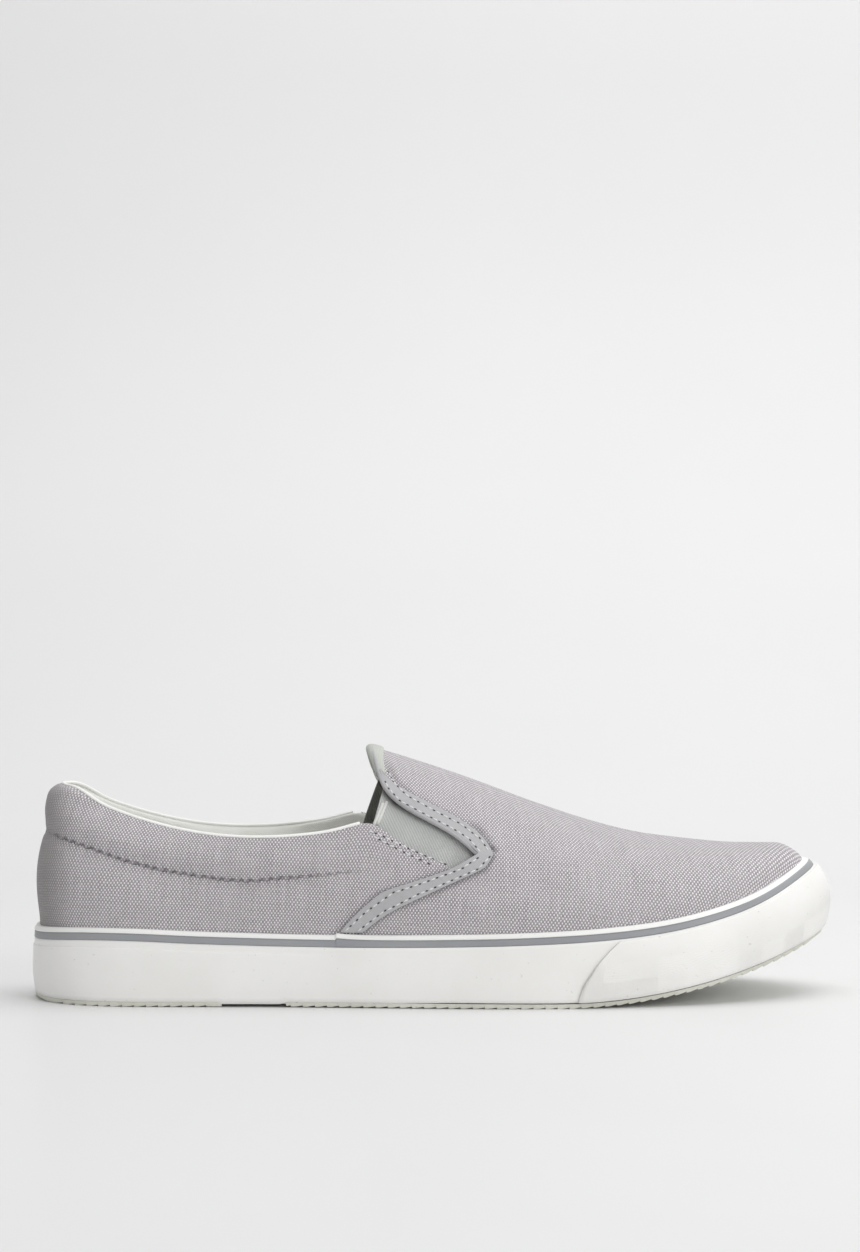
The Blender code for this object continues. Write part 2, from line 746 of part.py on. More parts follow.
def loft(name, sections, material_name, closed):
    """Joins rings of points into one solid, round a loop or with capped ends."""
    bm = bmesh.new()
    rings = [[bm.verts.new(point) for point in section] for section in sections]
    pairs = list(zip(rings, rings[1:]))
    if closed:
        pairs.append((rings[-1], rings[0]))
    for ring, other in pairs:
        for i in range(len(ring)):
            j = (i + 1) % len(ring)
            bm.faces.new((ring[i], ring[j], other[j], other[i]))
    if not closed:
        bm.faces.new(rings[0])
        bm.faces.new(rings[-1])
    bmesh.ops.remove_doubles(bm, verts=bm.verts, dist=MERGE / 4.0)
    return finish(bm, name, material_name)


def wrap_columns():
    """(side, share) of every column once round the shoe, from the heel by the toe."""
    lateral = [("lateral", share) for share in column_shares("lateral")]
    medial = [("medial", share) for share in column_shares("medial")]
    return lateral + medial[-2:0:-1]


def strip_rises(x):
    """Rises of the strip edges: top strip's foot, stripe's top and foot, ridge."""
    height = side_height(x)
    top_foot = 1.0 - TOP_STRIP_HEIGHT / height
    stripe_top = top_foot - GAP / height
    stripe_foot = stripe_top - STRIPE_HEIGHT / height
    wall_top = stripe_foot - GAP / height
    return top_foot, stripe_top, stripe_foot, wall_top


def foxing_foot(x):
    """Rise of the foxing's lower edge, just above the tread plate."""
    return (PLATE_THICKNESS + GAP) / side_height(x)


def foxing_section(side, share):
    """Ring of the white side wall with its faint ridge."""
    x = outline_at(side, share)[0][0]
    wall_top = strip_rises(x)[3]
    ridge = wall_top - RIDGE_DROP / side_height(x)
    step = RIDGE_STEP * (1.0 - float(ease(x / SOLE_LENGTH, *RIDGE_END)))
    foot = foxing_foot(x)
    outer = [(foot, 0.0), (WIDEST_RISE, 0.0), (MIDDLE_RISE, 0.0), (ridge, 0.0)]
    outer += [(ridge + RIDGE_SLOPE_RISE, step), (wall_top, step)]
    inner = (wall_top, WALL_RISE, INNER_LOW_RISE, foot)
    points = [side_point(side, share, rise, inset) for rise, inset in outer]
    return points + [side_point(side, share, rise, FOXING_THICKNESS) for rise in inner]


def stripe_section(side, share):
    """Ring of the grey stripe, a little back from the wall."""
    _, top, foot, _ = strip_rises(outline_at(side, share)[0][0])
    outer = ((foot, STRIPE_RECESS), (top, STRIPE_RECESS))
    corners = outer + ((top, FOXING_THICKNESS), (foot, FOXING_THICKNESS))
    return [side_point(side, share, rise, inset) for rise, inset in corners]


def top_strip_section(side, share):
    """Ring of the white strip along the foxing's top, with a rounded outer edge."""
    foot = strip_rises(outline_at(side, share)[0][0])[0]
    middle = (1.0 + foot) / 2.0
    third = FOXING_THICKNESS / 3.0
    outer = ((foot, 0.0), (middle, 0.0), (1.0, third))
    corners = outer + ((1.0, FOXING_THICKNESS), (foot, FOXING_THICKNESS))
    return [side_point(side, share, rise, inset) for rise, inset in corners]


def bumper_sections():
    """Rings of the textured toe bumper, from its lateral to its medial rear edge."""
    foot_x = BUMPER_FOOT_X * SOLE_LENGTH
    top_x = BUMPER_TOP_X * SOLE_LENGTH
    halves = {}
    for side in SIDES:
        first = share_at(side, foot_x)
        beyond = [s for s in column_shares(side) if s > first + BUMPER_FIRST_SPAN]
        halves[side] = [(side, s) for s in [first] + beyond]
    sections = []
    for side, share in halves["lateral"] + halves["medial"][-2::-1]:
        x = outline_at(side, share)[0][0]
        top = strip_rises(max(x, top_x))[2]
        ridge = strip_rises(x)[3] - RIDGE_DROP / side_height(x)
        rises = (foxing_foot(x), WIDEST_RISE, MIDDLE_RISE, ridge, top - BUMPER_SET_DOWN / side_height(x))
        ring = []
        for inset, levels in ((-GAP - BUMPER_THICKNESS, rises), (-GAP, rises[::-1])):
            for rise in levels:
                rear = foot_x + (top_x - foot_x) * (rise / top) ** 2
                ring.append(side_point(side, max(share, share_at(side, rear)), rise, inset))
        sections.append(ring)
    return sections


def tread_depth(x):
    """Height of the tread above the underside line at x, in saw teeth with flat lands."""
    start, end = (share * SOLE_LENGTH for share in ARCH_PANEL)
    if start < x < end:
        return ARCH_RISE
    along = ((x + TREAD_STEP / 2.0) % TREAD_PITCH) / TREAD_PITCH
    land = (TREAD_LAND + TREAD_STEP) / TREAD_PITCH
    return TREAD_DEPTH * max(along - land, 0.0) / (1.0 - land)


def tread_stations(start, end):
    """Places along the sole where the tread's height changes, from end to end."""
    arch = [share * SOLE_LENGTH for share in ARCH_PANEL]
    stations = [start + step for step in END_STEPS] + [end - step for step in END_STEPS]
    for edge in arch:
        stations += [edge - TREAD_STEP, edge + TREAD_STEP]
    first = math.ceil((start + END_STEPS[-1]) / TREAD_PITCH)
    for i in range(first, int((end - END_STEPS[-1]) / TREAD_PITCH)):
        x = i * TREAD_PITCH
        for place in (x, x + TREAD_LAND, x + TREAD_PITCH - TREAD_STEP):
            if not arch[0] - TREAD_LAND < place < arch[1] + TREAD_LAND:
                stations.append(place)
    return sorted(stations)


def spans(rise_of, inset):
    """Side walls at one level as functions of x: lateral y and medial y."""
    curves = {}
    for side in SIDES:
        points = []
        for share in column_shares(side):
            x = outline_at(side, share)[0][0]
            points.append(side_point(side, share, rise_of(x), inset))
        curves[side] = np.array(points)
    return curves


def span_at(curves, x):
    """Lateral and medial y of a level at x, and whether x is inside it."""
    low = curves["lateral"][0][0]
    high = curves["lateral"][-1][0]
    near = float(np.interp(x, curves["lateral"][:, 0], curves["lateral"][:, 1]))
    far = float(np.interp(x, curves["medial"][:, 0], curves["medial"][:, 1]))
    return near, far, low < x < high


def outsole():
    """Tread plate under the foxing's full outline, raised inside it."""
    foot = spans(lambda x: 0.0, 0.0)
    plate = spans(lambda x: PLATE_THICKNESS / side_height(x), 0.0)
    inside_foxing = FOXING_THICKNESS + RAISED_SIDE_GAPS * GAP
    raised = spans(foxing_foot, inside_foxing)
    rim = spans(lambda x: OUTSOLE_THICKNESS / side_height(x), inside_foxing)
    sections = []
    stations = tread_stations(plate["lateral"][0][0], plate["lateral"][-1][0])
    heel_end, toe_tip = raised["lateral"][0][0], raised["lateral"][-1][0]
    for step in (-TREAD_STEP, TREAD_STEP):
        stations += [heel_end + step, toe_tip + step]
    for x in sorted(stations):
        middle = sum(span_at(plate, x)[:2]) / 2.0
        near, far, inside = span_at(plate, x)
        low_near, low_far, low_inside = span_at(foot, x)
        if not low_inside:
            low_near = middle + (near - middle) * PLATE_END_WIDTH
            low_far = middle + (far - middle) * PLATE_END_WIDTH
        up_near, up_far, up_inside = span_at(raised, x)
        if not up_inside:
            up_near = middle + (near - middle) * RAISED_END_WIDTH
            up_far = middle + (far - middle) * RAISED_END_WIDTH
        rim_near, rim_far, rim_inside = span_at(rim, x)
        if not (up_inside and rim_inside):
            rim_near, rim_far = up_near, up_far
        base = underside(x)
        bottom = base + tread_depth(x)
        shelf = base + PLATE_THICKNESS
        top = base + OUTSOLE_THICKNESS if up_inside else shelf
        sections.append([
            (x, low_near, bottom), (x, low_far, bottom), (x, far, shelf), (x, up_far, shelf),
            (x, rim_far, top), (x, rim_near, top), (x, up_near, shelf), (x, near, shelf),
        ])
    return sections


def insole():
    """Footbed between the upper's walls, on the outsole, with a slightly raised rim."""
    bm = bmesh.new()
    inset = FOXING_THICKNESS + GAP + WALL + INSOLE_SIDE_GAPS * GAP
    rows = {}
    for side in SIDES:
        for share in column_shares(side):
            x = outline_at(side, share)[0][0]
            low = side_point(side, share, (OUTSOLE_THICKNESS + GAP) / side_height(x), inset)
            over = side_point(side, share, WALL_RISE, inset)
            high = low.lerp(over, INSOLE_THICKNESS / (over.z - low.z))
            rows.setdefault(side, []).append((low, high))
    near, far = rows["lateral"], rows["medial"]
    rings = []
    for (low_near, high_near), (low_far, high_far) in zip(near, far):
        corners = [low_near, low_far, high_far, high_near]
        rings.append([bm.verts.new(point) for point in corners])
    for ring, other in zip(rings, rings[1:]):
        for i in range(4):
            j = (i + 1) % 4
            bm.faces.new((ring[i], ring[j], other[j], other[i]))
    bm.faces.new(rings[0])
    bm.faces.new(rings[-1])
    bmesh.ops.remove_doubles(bm, verts=bm.verts, dist=MERGE)
    bmesh.ops.dissolve_degenerate(bm, edges=bm.edges, dist=MERGE / 4.0)
    return finish(bm, "insole", "foam")


def grid_faces(bm, layer, columns):
    """Adds the quads of one skin grid."""
    rows = []
    for cells in columns:
        row = []
        for point, depth in cells:
            vert = bm.verts.new(point)
            vert[layer] = depth
            row.append(vert)
        rows.append(row)
    for left, right in zip(rows, rows[1:]):
        for i in range(len(left) - 1):
            bm.faces.new((left[i], right[i], right[i + 1], left[i + 1]))


def wall_rows(side):
    """Skin cells behind the foxing: three levels of every column."""
    inset = FOXING_THICKNESS + GAP
    columns = []
    for share in column_shares(side):
        x = outline_at(side, share)[0][0]
        foot = (OUTSOLE_THICKNESS + GAP) / side_height(x)
        rises = (foot, WALL_RISE, 1.0)
        columns.append([(side_point(side, share, rise, inset), WALL) for rise in rises])
    return columns


def upper():
    """Hollow canvas upper: one wall, open at collar, throat, gores and underneath."""
    bm = bmesh.new()
    layer = bm.verts.layers.float.new("wall")
    for side in SIDES:
        grids = skin(side)
        below = wall_rows(side)
        for i, cells in enumerate(below):
            if i < QUARTER_COLUMNS:
                above = grids.quarter[i]
            else:
                above = grids.vamp[i - QUARTER_COLUMNS]
            cells[-1] = above[0]
        grid_faces(bm, layer, below)
        grid_faces(bm, layer, grids.quarter)
        grid_faces(bm, layer, grids.vamp)
        grid_faces(bm, layer, grids.tongue)
    bmesh.ops.remove_doubles(bm, verts=bm.verts, dist=MERGE)
    bmesh.ops.recalc_face_normals(bm, faces=bm.faces)
    rearmost = min(bm.verts, key=lambda v: v.co.x)
    bm.normal_update()
    if rearmost.normal.x > 0.0:
        bmesh.ops.reverse_faces(bm, faces=bm.faces)
        bm.normal_update()
    outer = list(bm.faces)
    rim = [edge for edge in bm.edges if edge.is_boundary]
    inner = {}
    for vert in list(bm.verts):
        moved = vert.co - vert.normal * vert[layer]
        bottom = vert.is_boundary and vert.co.z < underside(vert.co.x) + side_height(vert.co.x) * 0.5
        if bottom:
            flat = Vector((vert.normal.x, vert.normal.y, 0.0)).normalized()
            moved = vert.co - flat * vert[layer]
        inner[vert] = bm.verts.new(moved)
    for face in outer:
        bm.faces.new([inner[vert] for vert in reversed(face.verts)])
    for edge in rim:
        a, b = edge.verts
        bm.faces.new((a, b, inner[b], inner[a]))
    return finish(bm, "upper", "canvas")


def lifted(point, normal, height):
    """Point moved along a normal."""
    return point + normal * height


def skin_normal(grid, i, j):
    """Outward normal of a skin grid at one cell corner, from its neighbours."""
    last_i, last_j = len(grid) - 1, len(grid[i]) - 1
    along = grid[min(i + 1, last_i)][j][0] - grid[max(i - 1, 0)][j][0]
    up = grid[i][min(j + 1, last_j)][0] - grid[i][max(j - 1, 0)][0]
    return along.cross(up).normalized()


def outward_normal(side, grid, i, j):
    """Skin normal turned away from the foot."""
    normal = skin_normal(grid, i, j)
    away = Vector((0.0, SIDES[side], 0.6))
    return normal if normal.dot(away) > 0.0 else -normal


def throat_tape(side):
    """Tape from the foxing up the strap, round the gore's tip and along the throat."""
    grids = skin(side)
    vamp, tongue = grids.vamp, grids.tongue
    rungs = []
    for row in range(STRAP_ROWS + 1):
        pair = []
        for i in (0, 1):
            point, normal = vamp[i][row][0], outward_normal(side, vamp, i, row)
            if row == 0:
                point = point.lerp(vamp[i][1][0], TAPE_START)
            pair.append((point, normal))
        rungs.append(pair)
    tip = rungs[-1][0]
    for i in (1, 0):
        rungs.append([tip, (vamp[i][STRAP_ROWS + 1][0], outward_normal(side, vamp, i, STRAP_ROWS + 1))])
    for k in range(1, len(tongue)):
        rungs.append([(tongue[k][row][0], outward_normal(side, tongue, k, row)) for row in (0, 1)])
    high = GAP + TAPE_THICKNESS
    sections = []
    for (left, left_normal), (right, right_normal) in rungs:
        sections.append([lifted(left, left_normal, GAP), lifted(left, left_normal, high),
                         lifted(right, right_normal, high), lifted(right, right_normal, GAP)])
    return loft(f"throat_tape_{side}", sections, "tape", closed=False)


def tongue_binding():
    """Soft band folded over the tongue's top edge, between the two throat tapes."""
    sections = []
    columns = []
    for side in SIDES:
        tongue = skin(side).tongue
        last = len(tongue) - 1
        rows = range(1, VAMP_ROWS + 1) if side == "lateral" else range(VAMP_ROWS - 1, 0, -1)
        for row in rows:
            back, edge = tongue[last - 1][row][0], tongue[last][row][0]
            normal = outward_normal(side, tongue, last, row)
            if row == VAMP_ROWS:
                normal = Vector((normal.x, 0.0, normal.z)).normalized()
            columns.append((row == 1, side, back, edge, normal))
    out = GAP + BINDING_THICKNESS
    for first, side, back, edge, normal in columns:
        beyond = (edge - back).normalized()
        shift = Vector((0.0, 0.0, 0.0))
        if first:
            centre = Vector((edge.x, crest_at(edge.x)[0], edge.z + 0.01))
            shift = (centre - edge).normalized() * BINDING_END_GAPS * GAP
        start = back.lerp(edge, BINDING_START)
        sections.append([point + shift for point in (
            lifted(start, normal, out),
            lifted(edge + beyond * GAP, normal, out),
            lifted(edge + beyond * BINDING_ROLL * out, normal, 0.0),
            lifted(edge + beyond * BINDING_ROLL * out, normal, -WALL),
            lifted(edge + beyond * GAP, normal, -WALL - out),
            lifted(start, normal, -WALL - out),
            lifted(start, normal, -WALL - GAP),
            lifted(edge + beyond * GAP, normal, -WALL - GAP),
            lifted(edge + beyond * GAP, normal, GAP),
            lifted(start, normal, GAP),
        )])
    return loft("tongue_binding", sections, "binding", closed=False)


def gore(side):
    """Elastic gore: a sheet behind the quarter's front edge and the throat."""
    edge_top = strap_spot(STRAP_BACK, QUARTER_ROWS)
    low_line = (CORNER, edge_top, GORE_FRONT_LOW)
    top_spots = tuple(spots_at(THROAT, share) for share in GORE_TOP_SHARES)
    high_line = (GORE_REAR_TOP,) + top_spots + (THROAT_TIP,)
    outer, inner = [], []
    for i in range(GORE_ALONG + 1):
        run = i / GORE_ALONG * GORE_REACH
        low, high = spots_at(low_line, run), spots_at(high_line, run)
        column_outer, column_inner = [], []
        for j in range(GORE_ACROSS + 1):
            v = j / GORE_ACROSS
            x = (low.along * (1.0 - v) + high.along * v) * SOLE_LENGTH
            z = (low.height * (1.0 - v) + high.height * v) * INSTEP_HEIGHT
            z += GORE_TOP_LAP * v * v - GORE_UNDERLAP * (1.0 - v) ** 2
            depth = WALL + GORE_BEHIND_GAPS * GAP
            column_outer.append(gore_point(side, x, z, depth))
            column_inner.append(gore_point(side, x, z, depth + GORE_THICKNESS))
        outer.append(column_outer)
        inner.append(column_inner)
    sections = [list(o) + list(reversed(n)) for o, n in zip(outer, inner)]
    return loft(f"gore_{side}", sections, "elastic", closed=False)


def gore_point(side, x, z, depth):
    """Point behind the section's skin at x and height z."""
    step = 0.0005
    here = np.array([x, section_side(side, x, z), z])
    ahead = np.array([x + step, section_side(side, x + step, z), z])
    above = np.array([x, section_side(side, x, z + step), z + step])
    normal = np.cross(ahead - here, above - here)
    normal /= np.linalg.norm(normal)
    if normal[1] * SIDES[side] < 0.0:
        normal = -normal
    base_z = base_at(side, x)[1]
    height = crest_at(x)[1] - base_z
    belly = belly_at(x, z - base_z, BELLY_SHARE * 0.5 * height)
    return Vector(here - normal * depth + np.array([0.0, SIDES[side] * belly, 0.0]))


def clear_scene():
    """Removes every object of the opened scene."""
    for found in list(bpy.data.objects):
        bpy.data.objects.remove(found, do_unlink=True)


def centre(pieces):
    """Hangs all pieces on one empty that puts the origin under the middle of their box."""
    corners = np.array([piece.matrix_world @ vert.co for piece in pieces for vert in piece.data.vertices])
    low, high = corners.min(axis=0), corners.max(axis=0)
    root = bpy.data.objects.new("shoe", None)
    bpy.context.scene.collection.objects.link(root)
    root.location = (-(low[0] + high[0]) / 2.0, -(low[1] + high[1]) / 2.0, -low[2])
    for piece in pieces:
        piece.parent = root


def main():
    """Builds the shoe."""
    clear_scene()
    around = wrap_columns()
    pieces = [
        loft("outsole", outsole(), "sole_rubber", closed=False),
        loft("foxing", [foxing_section(*c) for c in around], "sole_rubber", closed=True),
        loft("foxing_stripe", [stripe_section(*c) for c in around], "stripe_rubber", closed=True),
        loft("foxing_top_strip", [top_strip_section(*c) for c in around], "sole_rubber", closed=True),
        loft("toe_bumper", bumper_sections(), "sole_rubber", closed=False),
        insole(),
        upper(),
        tongue_binding(),
    ]
    for side in SIDES:
        pieces.append(throat_tape(side))
        pieces.append(gore(side))
    bpy.context.view_layer.update()
    centre(pieces)


main()
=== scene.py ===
"""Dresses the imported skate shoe: canvas, tape, elastic, rubber, stitches, studio and camera.

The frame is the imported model, in metres: +X from heel to toe, -Y the lateral side that faces
the camera, +Z up. Each part of the shoe is a class that shapes its visible piece from its
CAD node and gives it a finish. Marks that the photograph gives are side views, (x, z) in
millimetres, set onto whatever surface lies there.
"""

import logging
import math
from dataclasses import dataclass
from enum import Enum
from typing import NamedTuple, Sequence

import bmesh
import bpy
import numpy as np
from mathutils import Matrix, Vector
from mathutils.bvhtree import BVHTree


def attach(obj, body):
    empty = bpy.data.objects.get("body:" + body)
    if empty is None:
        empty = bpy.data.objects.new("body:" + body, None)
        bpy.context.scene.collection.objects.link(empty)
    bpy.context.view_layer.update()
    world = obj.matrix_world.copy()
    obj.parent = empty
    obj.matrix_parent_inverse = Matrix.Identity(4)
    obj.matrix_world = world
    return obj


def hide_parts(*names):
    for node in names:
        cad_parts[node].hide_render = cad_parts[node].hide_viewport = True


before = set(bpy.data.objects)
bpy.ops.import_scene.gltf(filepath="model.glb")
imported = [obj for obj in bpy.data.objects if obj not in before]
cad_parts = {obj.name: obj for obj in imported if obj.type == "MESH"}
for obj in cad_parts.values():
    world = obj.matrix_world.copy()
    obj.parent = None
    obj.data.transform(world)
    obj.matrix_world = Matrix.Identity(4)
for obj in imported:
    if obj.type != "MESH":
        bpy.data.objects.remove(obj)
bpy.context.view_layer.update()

LOG = logging.getLogger("skate_shoe")
MM = 0.001
BODY = "root"
PUCKER = 3.4 * MM
YARN_PAIR = 2.0


class Side(Enum):
    """The two sides of the shoe, as the sign of y."""

    LATERAL = -1.0
    MEDIAL = 1.0


class Mark(NamedTuple):
    """A point of a side view, in millimetres."""

    x: float
    z: float


def line(*numbers: float) -> tuple[Mark, ...]:
    """Line of marks from x, z, x, z and so on."""
    return tuple(Mark(x, z) for x, z in zip(numbers[::2], numbers[1::2]))


def srgb(red: int, green: int, blue: int) -> tuple[float, float, float, float]:
    """Turns an sRGB colour of 0 to 255 into a linear one.

    Args:
        red: red, 0 to 255.
        green: green, 0 to 255.
        blue: blue, 0 to 255.

    Returns:
        The linear colour with an alpha of 1.
    """
    parts = []
    for level in (red, green, blue):
        share = level / 255.0
        low = share <= 0.04045
        parts.append(share / 12.92 if low else ((share + 0.055) / 1.055) ** 2.4)
    return (parts[0], parts[1], parts[2], 1.0)


def ease(value: np.ndarray, start: float, end: float) -> np.ndarray:
    """Smooth step of value from 0 at start to 1 at end."""
    share = np.clip((value - start) / (end - start), 0.0, 1.0)
    return share * share * (3.0 - 2.0 * share)


def bell(value: np.ndarray, middle: float, spread: float) -> np.ndarray:
    """Soft bump of 1 at the middle, falling off over the spread."""
    return np.exp(-(((value - middle) / spread) ** 2))


def between(first: Sequence[Mark], second: Sequence[Mark], share: float) -> list[Mark]:
    """Line of marks between two lines with the same number of marks.

    Args:
        first: the line at share 0.
        second: the line at share 1.
        share: where to stand between them.

    Returns:
        The marks of the line between.
    """
    pairs = zip(first, second)
    return [Mark(a.x + (b.x - a.x) * share, a.z + (b.z - a.z) * share) for a, b in pairs]


# Materials


DEEP_SHADE = srgb(48, 43, 38)


class Recipe:
    """A material's node tree, written as sums on sockets."""

    def __init__(self, name: str) -> None:
        """Starts a material with one principled shader.

        Args:
            name: the material's name.
        """
        self.material = bpy.data.materials.new(name)
        self.material.use_nodes = True
        self.tree = self.material.node_tree
        self.shader = self.tree.nodes["Principled BSDF"]

    def put(self, socket: bpy.types.NodeSocket, value: object) -> None:
        """Links a socket to an input, or sets a plain value there."""
        if isinstance(value, bpy.types.NodeSocket):
            self.tree.links.new(value, socket)
        else:
            socket.default_value = value

    def sum(self, operation: str, *values: object) -> bpy.types.NodeSocket:
        """Adds a Math node.

        Args:
            operation: Blender's name of the operation.
            values: its inputs, sockets or numbers.

        Returns:
            The result's socket.
        """
        node = self.tree.nodes.new("ShaderNodeMath")
        node.operation = operation
        for socket, value in zip(node.inputs, values):
            self.put(socket, value)
        return node.outputs[0]

    def times(self, first: object, second: object) -> bpy.types.NodeSocket:
        """The product of two inputs."""
        return self.sum("MULTIPLY", first, second)

    def plus(self, first: object, second: object) -> bpy.types.NodeSocket:
        """The sum of two inputs."""
        return self.sum("ADD", first, second)

    def minus(self, first: object, second: object) -> bpy.types.NodeSocket:
        """The first input less the second."""
        return self.sum("SUBTRACT", first, second)

    def size(self, value: object) -> bpy.types.NodeSocket:
        """An input without its sign."""
        return self.sum("ABSOLUTE", value)

    def wave(self, value: object, length: float) -> bpy.types.NodeSocket:
        """Sine of an input, with a full wave at every length."""
        return self.sum("SINE", self.times(value, math.tau / length))

    def surface(self, pitch_x: float, pitch_y: float) -> bpy.types.NodeSocket:
        """Coordinates on the piece's own UV map, counted in pitches.

        Args:
            pitch_x: first pitch, metres.
            pitch_y: second pitch, metres.

        Returns:
            The vector's socket.
        """
        source = self.tree.nodes.new("ShaderNodeUVMap")
        return self.stretched(source.outputs[0], 1.0 / pitch_x, 1.0 / pitch_y, 1.0)

    def place(self, turn: tuple[float, float, float] = (0.0, 0.0, 0.0)) -> bpy.types.NodeSocket:
        """Object coordinates in metres.

        Args:
            turn: turns about the three axes, degrees.

        Returns:
            The vector's socket.
        """
        source = self.tree.nodes.new("ShaderNodeTexCoord")
        turned = self.tree.nodes.new("ShaderNodeMapping")
        turned.inputs["Rotation"].default_value = tuple(math.radians(angle) for angle in turn)
        self.tree.links.new(source.outputs["Object"], turned.inputs["Vector"])
        return turned.outputs[0]

    def stretched(
        self, vector: bpy.types.NodeSocket, x: float, y: float, z: float
    ) -> bpy.types.NodeSocket:
        """Scales a vector.

        Args:
            vector: the vector.
            x: scale of its first part.
            y: scale of its second part.
            z: scale of its third part.

        Returns:
            The scaled vector's socket.
        """
        scaled = self.tree.nodes.new("ShaderNodeMapping")
        scaled.inputs["Scale"].default_value = (x, y, z)
        self.tree.links.new(vector, scaled.inputs["Vector"])
        return scaled.outputs[0]

    def attribute(self, name: str) -> bpy.types.NodeSocket:
        """Reads a number stored on the mesh.

        Args:
            name: the attribute's name.

        Returns:
            The number's socket.
        """
        node = self.tree.nodes.new("ShaderNodeAttribute")
        node.attribute_name = name
        return node.outputs["Fac"]

    def axes(self, vector: bpy.types.NodeSocket) -> tuple[bpy.types.NodeSocket, ...]:
        """The three parts of a vector."""
        node = self.tree.nodes.new("ShaderNodeSeparateXYZ")
        self.tree.links.new(vector, node.inputs[0])
        return tuple(node.outputs)

    def noise(
        self, vector: bpy.types.NodeSocket, scale: float, detail: float = 2.0, rough: float = 0.5
    ) -> bpy.types.NodeSocket:
        """Adds a noise texture.

        Args:
            vector: where to read it.
            scale: its scale.
            detail: its detail.
            rough: how strong the detail is.

        Returns:
            A socket of about 0 to 1.
        """
        node = self.tree.nodes.new("ShaderNodeTexNoise")
        self.tree.links.new(vector, node.inputs["Vector"])
        node.inputs["Scale"].default_value = scale
        node.inputs["Detail"].default_value = detail
        node.inputs["Roughness"].default_value = rough
        return node.outputs["Fac"]

    def span(
        self, value: object, low: float, high: float, to_low: float, to_high: float
    ) -> bpy.types.NodeSocket:
        """Smooth change of value from low to high, carried over to another range.

        Args:
            value: the socket to read.
            low: start of the change.
            high: end of the change.
            to_low: result at and before low.
            to_high: result at and after high.

        Returns:
            The result's socket.
        """
        node = self.tree.nodes.new("ShaderNodeMapRange")
        node.interpolation_type = "SMOOTHSTEP"
        for socket, entry in zip(node.inputs, (value, low, high, to_low, to_high)):
            self.put(socket, entry)
        return node.outputs[0]

    def mix(self, share: object, first: object, second: object) -> bpy.types.NodeSocket:
        """Mixes two colours.

        Args:
            share: how much of the second, 0 to 1.
            first: the first colour.
            second: the second colour.

        Returns:
            The colour's socket.
        """
        node = self.tree.nodes.new("ShaderNodeMix")
        node.data_type = "RGBA"
        self.put(node.inputs[0], share)
        self.put(node.inputs[6], first)
        self.put(node.inputs[7], second)
        return node.outputs[2]

    def bump(
        self, height: bpy.types.NodeSocket, distance: float, below: bpy.types.NodeSocket | None = None
    ) -> bpy.types.NodeSocket:
        """Adds relief.

        Args:
            height: 0 to 1 over the surface.
            distance: height of the relief in metres.
            below: the relief under this one.

        Returns:
            The normal's socket.
        """
        node = self.tree.nodes.new("ShaderNodeBump")
        node.inputs["Strength"].default_value = 1.0
        node.inputs["Distance"].default_value = distance
        self.tree.links.new(height, node.inputs["Height"])
        if below is not None:
            self.tree.links.new(below, node.inputs["Normal"])
        return node.outputs[0]

    def finish(
        self, color: object, roughness: object, normal: bpy.types.NodeSocket | None
    ) -> bpy.types.Material:
        """Sets the shader's main inputs.

        Args:
            color: base colour.
            roughness: roughness.
            normal: the relief's normal.

        Returns:
            The material.
        """
        self.put(self.shader.inputs["Base Color"], color)
        self.put(self.shader.inputs["Roughness"], roughness)
        if normal is not None:
            self.put(self.shader.inputs["Normal"], normal)
        return self.material


